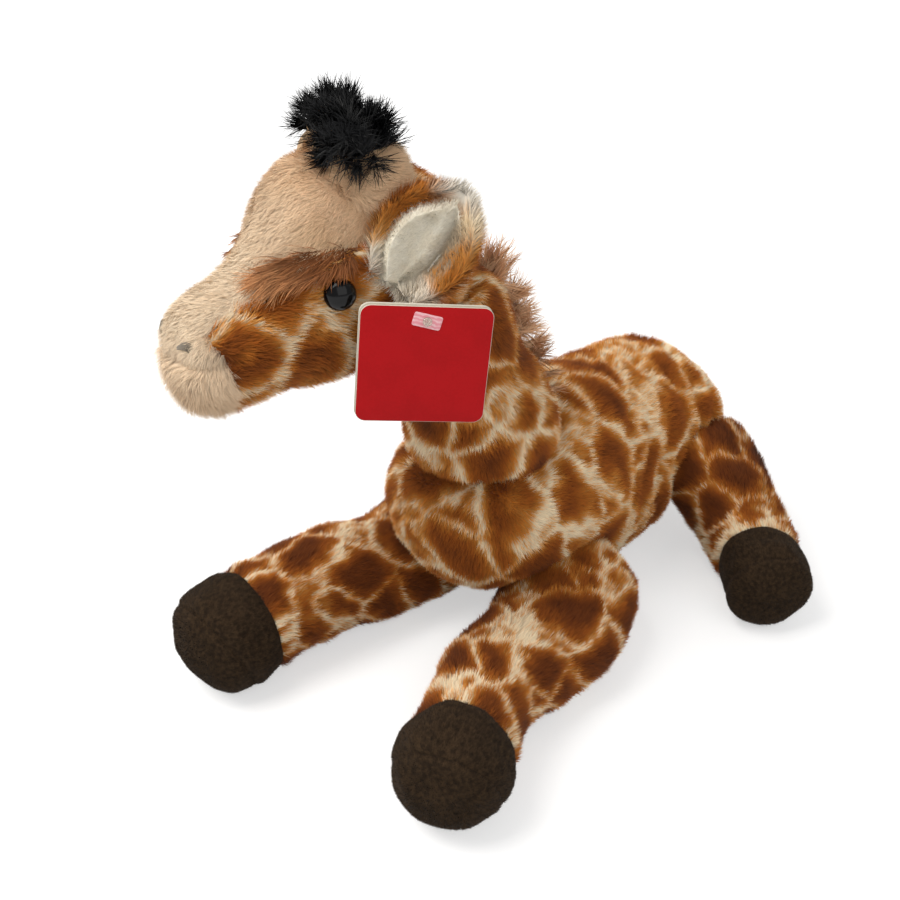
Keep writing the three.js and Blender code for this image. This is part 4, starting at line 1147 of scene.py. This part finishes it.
def makeEars():
    # The lining's darker second colour is painted shade in the hollow of the cup
    lined = plainPile("earLining", paint(255, 250, 236), paint(248, 240, 222), pale=paint(190, 172, 146), rootShade=0.84,
                      spread=0.2, size=8)
    outerLook = printedPlush("earPrint", shift=(4.2, 0.6, 1.9), cell=60, lines=2.6)
    gap = earSkin["gap"]
    for name, side in sides:
        ear = earFrame(name, side)
        outer = earLeaf(ear, -earSkin["outer"], 0, 1, 1, rim=1.35)
        along = (outer["points"] - ear["root"]) @ ear["out"] / earSkin["length"]
        outer["pale"] = np.maximum(ease(0.8, 0.96, along), ease(0.14, 0.0, along) * 0.8)
        hide(outer, 2, head)
        outer["cover"] *= earFront(outer) < 0.8
        softPiece(f"ear_{name}_plush", outer, f"ear_{name}", "patch_plush", outerLook, shortStrand,
                  Seed=80 + side, **{**bodyPile, "Strands": 6.5, "Length": 6.0, "Width": 0.34, "Lean": 0.55})
        lining = earLeaf(ear, gap, gap + earSkin["lining"], 0.84, 0.92, roll=earSkin["roll"])
        # Painted shade: the lining darkens away from its rolled front rim, into the hollow of the cup
        away = (lining["points"] - ear["root"]) @ ear["across"] * ear["rolledSide"] / (earSkin["width"] / 2)
        lining["pale"] = ease(-0.16, -0.46, away)
        hide(lining, 2, head)
        lining["cover"] *= earFront(lining) > -0.2
        softPiece(f"ear_lining_{name}_pile", lining, f"ear_{name}", "lining_plush", lined, shortStrand,
                  Seed=84 + side, **earSkin["liningPile"])


# Mane

maneSkin = {
    "width": 9, "height": 15, "shares": (0.02, 0.5, 0.88),
    "rows": [(0, 0, 0), (0.05, 0.7, 0.55), (0.2, 1, 0.9), (0.5, 1, 0.9), (0.8, 1, 0.9), (0.95, 0.7, 0.55), (1, 0, 0)],
    "pile": {"Strands": 4.4, "Length": 16.0, "Width": 0.42, "Lean": 0.8, "Tousle": 0.34, "Scatter": 0.1,
             "ClumpSize": 8.5, "ClumpPull": 3.6, "TousleSize": 10.0, "Uneven": 0.35},
}


def makeMane():
    back = unit(np.cross(neckWay, xAxis))
    line = [neckPivot + (headPivot - neckPivot) * share + back * neckSkin["radius"] * 0.98
            for share in maneSkin["shares"]]
    ridge = swelling(line, maneSkin["rows"], maneSkin["width"] / 2 - 1, maneSkin["height"] / 2 - 3.5, back,
                     steps=6, around=32)
    ridge["comb"] = back + zAxis * 0.25
    hide(ridge, 2, neck, head, trunk)
    look = plainPile("manePile", paint(246, 200, 158), paint(206, 154, 112), rootShade=0.62, spread=0.4, size=3,
                     sheen=0.1)
    softPiece("mane_pile", ridge, "neck", "mane_pile", look, longStrand, Seed=90, **maneSkin["pile"])
    return look


# Tail

tailSkin = {
    "length": 52, "radius": 4.6, "tuftRadius": 8, "tuftLength": 30, "settled": 1.6,
    "rows": [(0, 0), (0.05, 0.75), (0.16, 1.1), (0.5, 1), (0.85, 0.86), (0.96, 0.6), (1, 0)],
    "tuftPile": {"Strands": 4.0, "Length": 13.0, "Width": 0.5, "Lean": 0.82, "Tousle": 0.14, "Scatter": 0.16,
                 "ClumpSize": 4.0, "ClumpPull": 1.0},
}


def makeTail(tuftLook):
    level, length, radius = trunkSkin["height"], tailSkin["length"], tailSkin["radius"]
    path = [(0, rumpY * 0.975, level * 0.7), (0, rumpY + length * 0.18, level * 0.66),
            (0, rumpY + length * 0.26, level * 0.66 - length * 0.4),
            (0, rumpY + length * 0.27, level * 0.66 - length * 0.75)]
    rope = settle(swelling(path, tailSkin["rows"], radius, radius, xAxis, steps=9, around=40), tailSkin["settled"])
    hide(rope, 2, trunk)
    softPiece("tail_plush", rope, "tail", "patch_plush", printedPlush("tailPrint", shift=(2.2, 0.9, 0.1), cell=14),
              shortStrand, Seed=92, **{**bodyPile, "Length": 3.4})
    top = np.array(path[-1]) + zAxis * radius * 1.3
    core = swelling([top, top - zAxis * tailSkin["tuftLength"] * 0.55], padRows, tailSkin["tuftRadius"] * 0.6,
                    tailSkin["tuftRadius"] * 0.6, yAxis, steps=6, around=28)
    core["comb"] = -zAxis
    softPiece("tail_tuft_pile", core, "tail", "mane_pile", tuftLook, longStrand, Seed=94, **tailSkin["tuftPile"])


# Hang tag: a red card in front of a pale one, a pink sticker and a clear plastic strand

tagSkin = {
    "width": 50, "height": 48.5, "corner": 4, "thickness": 0.5, "edge": 0.3,
    "turn": 52,       # of the card's face to the toy's left, degrees
    "lean": 5,
    "backShift": (-0.5, 0.7),
    "sticker": {"width": 11, "height": 5.6, "corner": 0.9, "thickness": 0.16, "tilt": -12},
}
tagNormal = turned(-yAxis, zAxis, tagSkin["turn"])
tagUp = turned(zAxis, tagNormal, -tagSkin["lean"])
tagAcross = np.cross(tagUp, tagNormal)


def boxMiddle(node):
    low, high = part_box(node)
    return np.array((low + high) / 2) / mm


cornerSigns = ((1, 1), (-1, 1), (-1, -1), (1, -1))


def roundedOutline(width, height, corner, steps=10):
    spots = []
    for quarter, (x, y) in enumerate(cornerSigns):
        centre = np.array([x * (width / 2 - corner), y * (height / 2 - corner)])
        for angle in np.linspace(quarter, quarter + 1, steps) * math.pi / 2:
            spots.append(centre + corner * np.array([math.cos(angle), math.sin(angle)]))
    return np.array(spots)


# A thin card with soft edges, in rings from the middle of its face round to its back
def cardForm(middle, size, up, across):
    outline = roundedOutline(size["width"], size["height"], size["corner"])
    inset = 1 - 2 * tagSkin["edge"] / size["width"]
    levels = [(0, 1, 0), (0.5, 1, 0), (inset, 1, 0), (1, 0.6, 1)]
    levels += [(share, -lift, edge) for share, lift, edge in reversed(levels)]
    rings, places, pale = [], [], []
    for share, lift, edge in levels:
        flat = outline * share
        rings.append(middle + np.outer(flat[:, 0], across) + np.outer(flat[:, 1], up)
                     + tagNormal * lift * size["thickness"] / 2)
        places.append(np.column_stack([flat, np.zeros(len(flat))]))
        pale += [edge] * len(flat)
    return {**formOf(np.array(rings), up, np.array(places)), "pale": np.array(pale, float)}


def cardLook(name, colour, worn, edge, roughness):
    material, tree, shader = newLook(name, roughness=roughness, specular=0.12)
    place = attributeOf(tree, "printPlace", "Vector")
    fibres = noiseOf(tree, place, 1.1, 4.0)
    tone = maths(tree, "ADD", maths(tree, "MULTIPLY", fibres, 0.4),
                 maths(tree, "MULTIPLY", noiseOf(tree, place, 14), 0.6))
    face = rampNode(tree, tone, [(0.4, worn), (0.56, colour)])
    atEdge = maths(tree, "GREATER_THAN", attributeOf(tree, "pale"), 0.5)
    tree.links.new(mixColour(tree, atEdge, face, edge), shader.inputs["Base Color"])
    bump = addNode(tree, "ShaderNodeBump", {"Height": fibres, "Strength": 0.12, "Distance": 0.0002})
    tree.links.new(bump.outputs[0], shader.inputs["Normal"])
    return material


def stickerLook():
    material, tree, shader = newLook("stickerPaper", roughness=0.45, specular=0.3)
    place = attributeOf(tree, "printPlace", "Vector")
    bars = addNode(tree, "ShaderNodeTexWave", {
        "Vector": place, "Scale": 190.0, "Distortion": 4.0, "Detail": 2.0, "Detail Scale": 2.0}, bands_direction="Y")
    tone = maths(tree, "MULTIPLY", bars.outputs["Fac"], noiseOf(tree, place, 2.2))
    colour = rampNode(tree, tone, [(0.1, paint(226, 146, 156)), (0.55, paint(238, 194, 198))])
    tree.links.new(colour, shader.inputs["Base Color"])
    return material


def makeTag():
    edge = paint(206, 200, 186)
    red = cardLook("redCard", paint(174, 12, 19), paint(166, 10, 16), edge, 0.42)
    buff = cardLook("paleCard", paint(206, 202, 186), paint(196, 190, 172), edge, 0.6)
    right, raised = tagSkin["backShift"]
    backMiddle = boxMiddle("tag_back") + tagAcross * right + tagUp * raised
    label = tagSkin["sticker"]
    labelUp, labelAcross = (turned(way, tagNormal, label["tilt"]) for way in (tagUp, tagAcross))
    for name, form, slot, look in (
            ("tag_front_card", cardForm(boxMiddle("tag_front"), tagSkin, tagUp, tagAcross), "red_card", red),
            ("tag_back_card", cardForm(backMiddle, tagSkin, tagUp, tagAcross), "pale_card", buff),
            ("tag_sticker_paper", cardForm(boxMiddle("tag_sticker"), label, labelUp, labelAcross), "pink_paper",
             stickerLook())):
        hardPiece(name, form, "tag", look)
    clear, _, shader = newLook("clearPlastic", paint(236, 232, 220), roughness=0.18, specular=0.5)
    shader.inputs["Transmission Weight"].default_value = 0.75
    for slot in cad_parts["tag_fastener"].material_slots:
        slot.material = clear


makeEyes()
makeBrows()
makeNostrils()
makeHorns()
makeEars()
makeTail(makeMane())
makeTag()
print("head, tail and tag dressed")

# Floor, light and camera

floorLook = {
    "half": 3.0, "matt": (0.62, 0.625, 0.635, 1),
    "glow": {"From Min": 0.25, "From Max": 1.3, "To Min": 0.52, "To Max": 0.8},
}
softboxes = {
    "window": {"at": (-0.35, -0.75, 1.25), "size": 0.9, "power": 17, "tint": (1, 0.97, 0.92)},
    "fill": {"at": (1.2, -0.5, 0.9), "size": 1.4, "power": 7, "tint": (1, 0.99, 0.97)},
}
cameraView = {"azimuth": 45, "elevation": 31, "distance": 585, "target": (-30, -52, 80), "field": 43}


def aim(obj, way):
    obj.rotation_euler = way.to_track_quat("-Z", "Y").to_euler()


# The floor is matt, and seen by the camera it glows a little more with distance.
def makeFloor():
    half = floorLook["half"]
    floor = meshOf("floor", [(x * half, y * half, 0) for x, y in cornerSigns], [(0, 1, 2, 3)])
    obj = newObject("floor", floor)
    material = bpy.data.materials.new("paleFloor")
    tree = emptyTree(material)
    rays = addNode(tree, "ShaderNodeLightPath").outputs
    seen = maths(tree, "MAXIMUM", rays["Is Camera Ray"], rays["Is Glossy Ray"], rays["Is Transmission Ray"])
    away = addNode(tree, "ShaderNodeVectorMath", {0: addNode(tree, "ShaderNodeNewGeometry").outputs["Position"]},
                   operation="LENGTH")
    reach = addNode(tree, "ShaderNodeMapRange", {"Value": away.outputs["Value"], **floorLook["glow"]},
                    interpolation_type="SMOOTHSTEP")
    matt = addNode(tree, "ShaderNodeBsdfDiffuse", {"Color": floorLook["matt"]})
    glow = addNode(tree, "ShaderNodeEmission", {
        "Color": (1, 1, 1, 1), "Strength": maths(tree, "MULTIPLY", seen, reach.outputs["Result"])})
    both = addNode(tree, "ShaderNodeAddShader", {0: matt.outputs[0], 1: glow.outputs[0]})
    addNode(tree, "ShaderNodeOutputMaterial", {"Surface": both.outputs[0]})
    floor.materials.append(material)


def makeLights():
    world = bpy.data.worlds.new("studio")
    bpy.context.scene.world = world
    tree = emptyTree(world)
    soft = addNode(tree, "ShaderNodeBackground", {"Color": (1, 0.99, 0.97, 1), "Strength": 0.5})
    white = addNode(tree, "ShaderNodeBackground", {"Color": (1, 1, 1, 1), "Strength": 1.0})
    seen = addNode(tree, "ShaderNodeLightPath").outputs["Is Camera Ray"]
    mix = addNode(tree, "ShaderNodeMixShader", {0: seen, 1: soft.outputs[0], 2: white.outputs[0]})
    addNode(tree, "ShaderNodeOutputWorld", {"Surface": mix.outputs[0]})
    for name, box in softboxes.items():
        lamp = bpy.data.lights.new(name, "AREA")
        lamp.size, lamp.energy, lamp.color = box["size"], box["power"], box["tint"]
        obj = newObject(name, lamp)
        obj.location = box["at"]
        aim(obj, Vector((0, -0.05, 0.1)) - obj.location)


def makeCamera():
    camera = bpy.data.cameras.new("camera")
    obj = newObject("camera", camera)
    turn, lift = math.radians(cameraView["azimuth"]), math.radians(cameraView["elevation"])
    back = Vector((math.sin(turn) * math.cos(lift), -math.cos(turn) * math.cos(lift), math.sin(lift)))
    obj.location = Vector(cameraView["target"]) * mm + back * cameraView["distance"] * mm
    aim(obj, -back)
    camera.lens = camera.sensor_width / 2 / math.tan(math.radians(cameraView["field"] / 2))
    camera.clip_start, camera.clip_end = 0.01, 20
    bpy.context.scene.camera = obj


makeFloor()
makeLights()
makeCamera()
bpy.context.scene.view_settings.view_transform = "Standard"

for template in (shortStrand, longStrand):
    bpy.data.objects.remove(template)
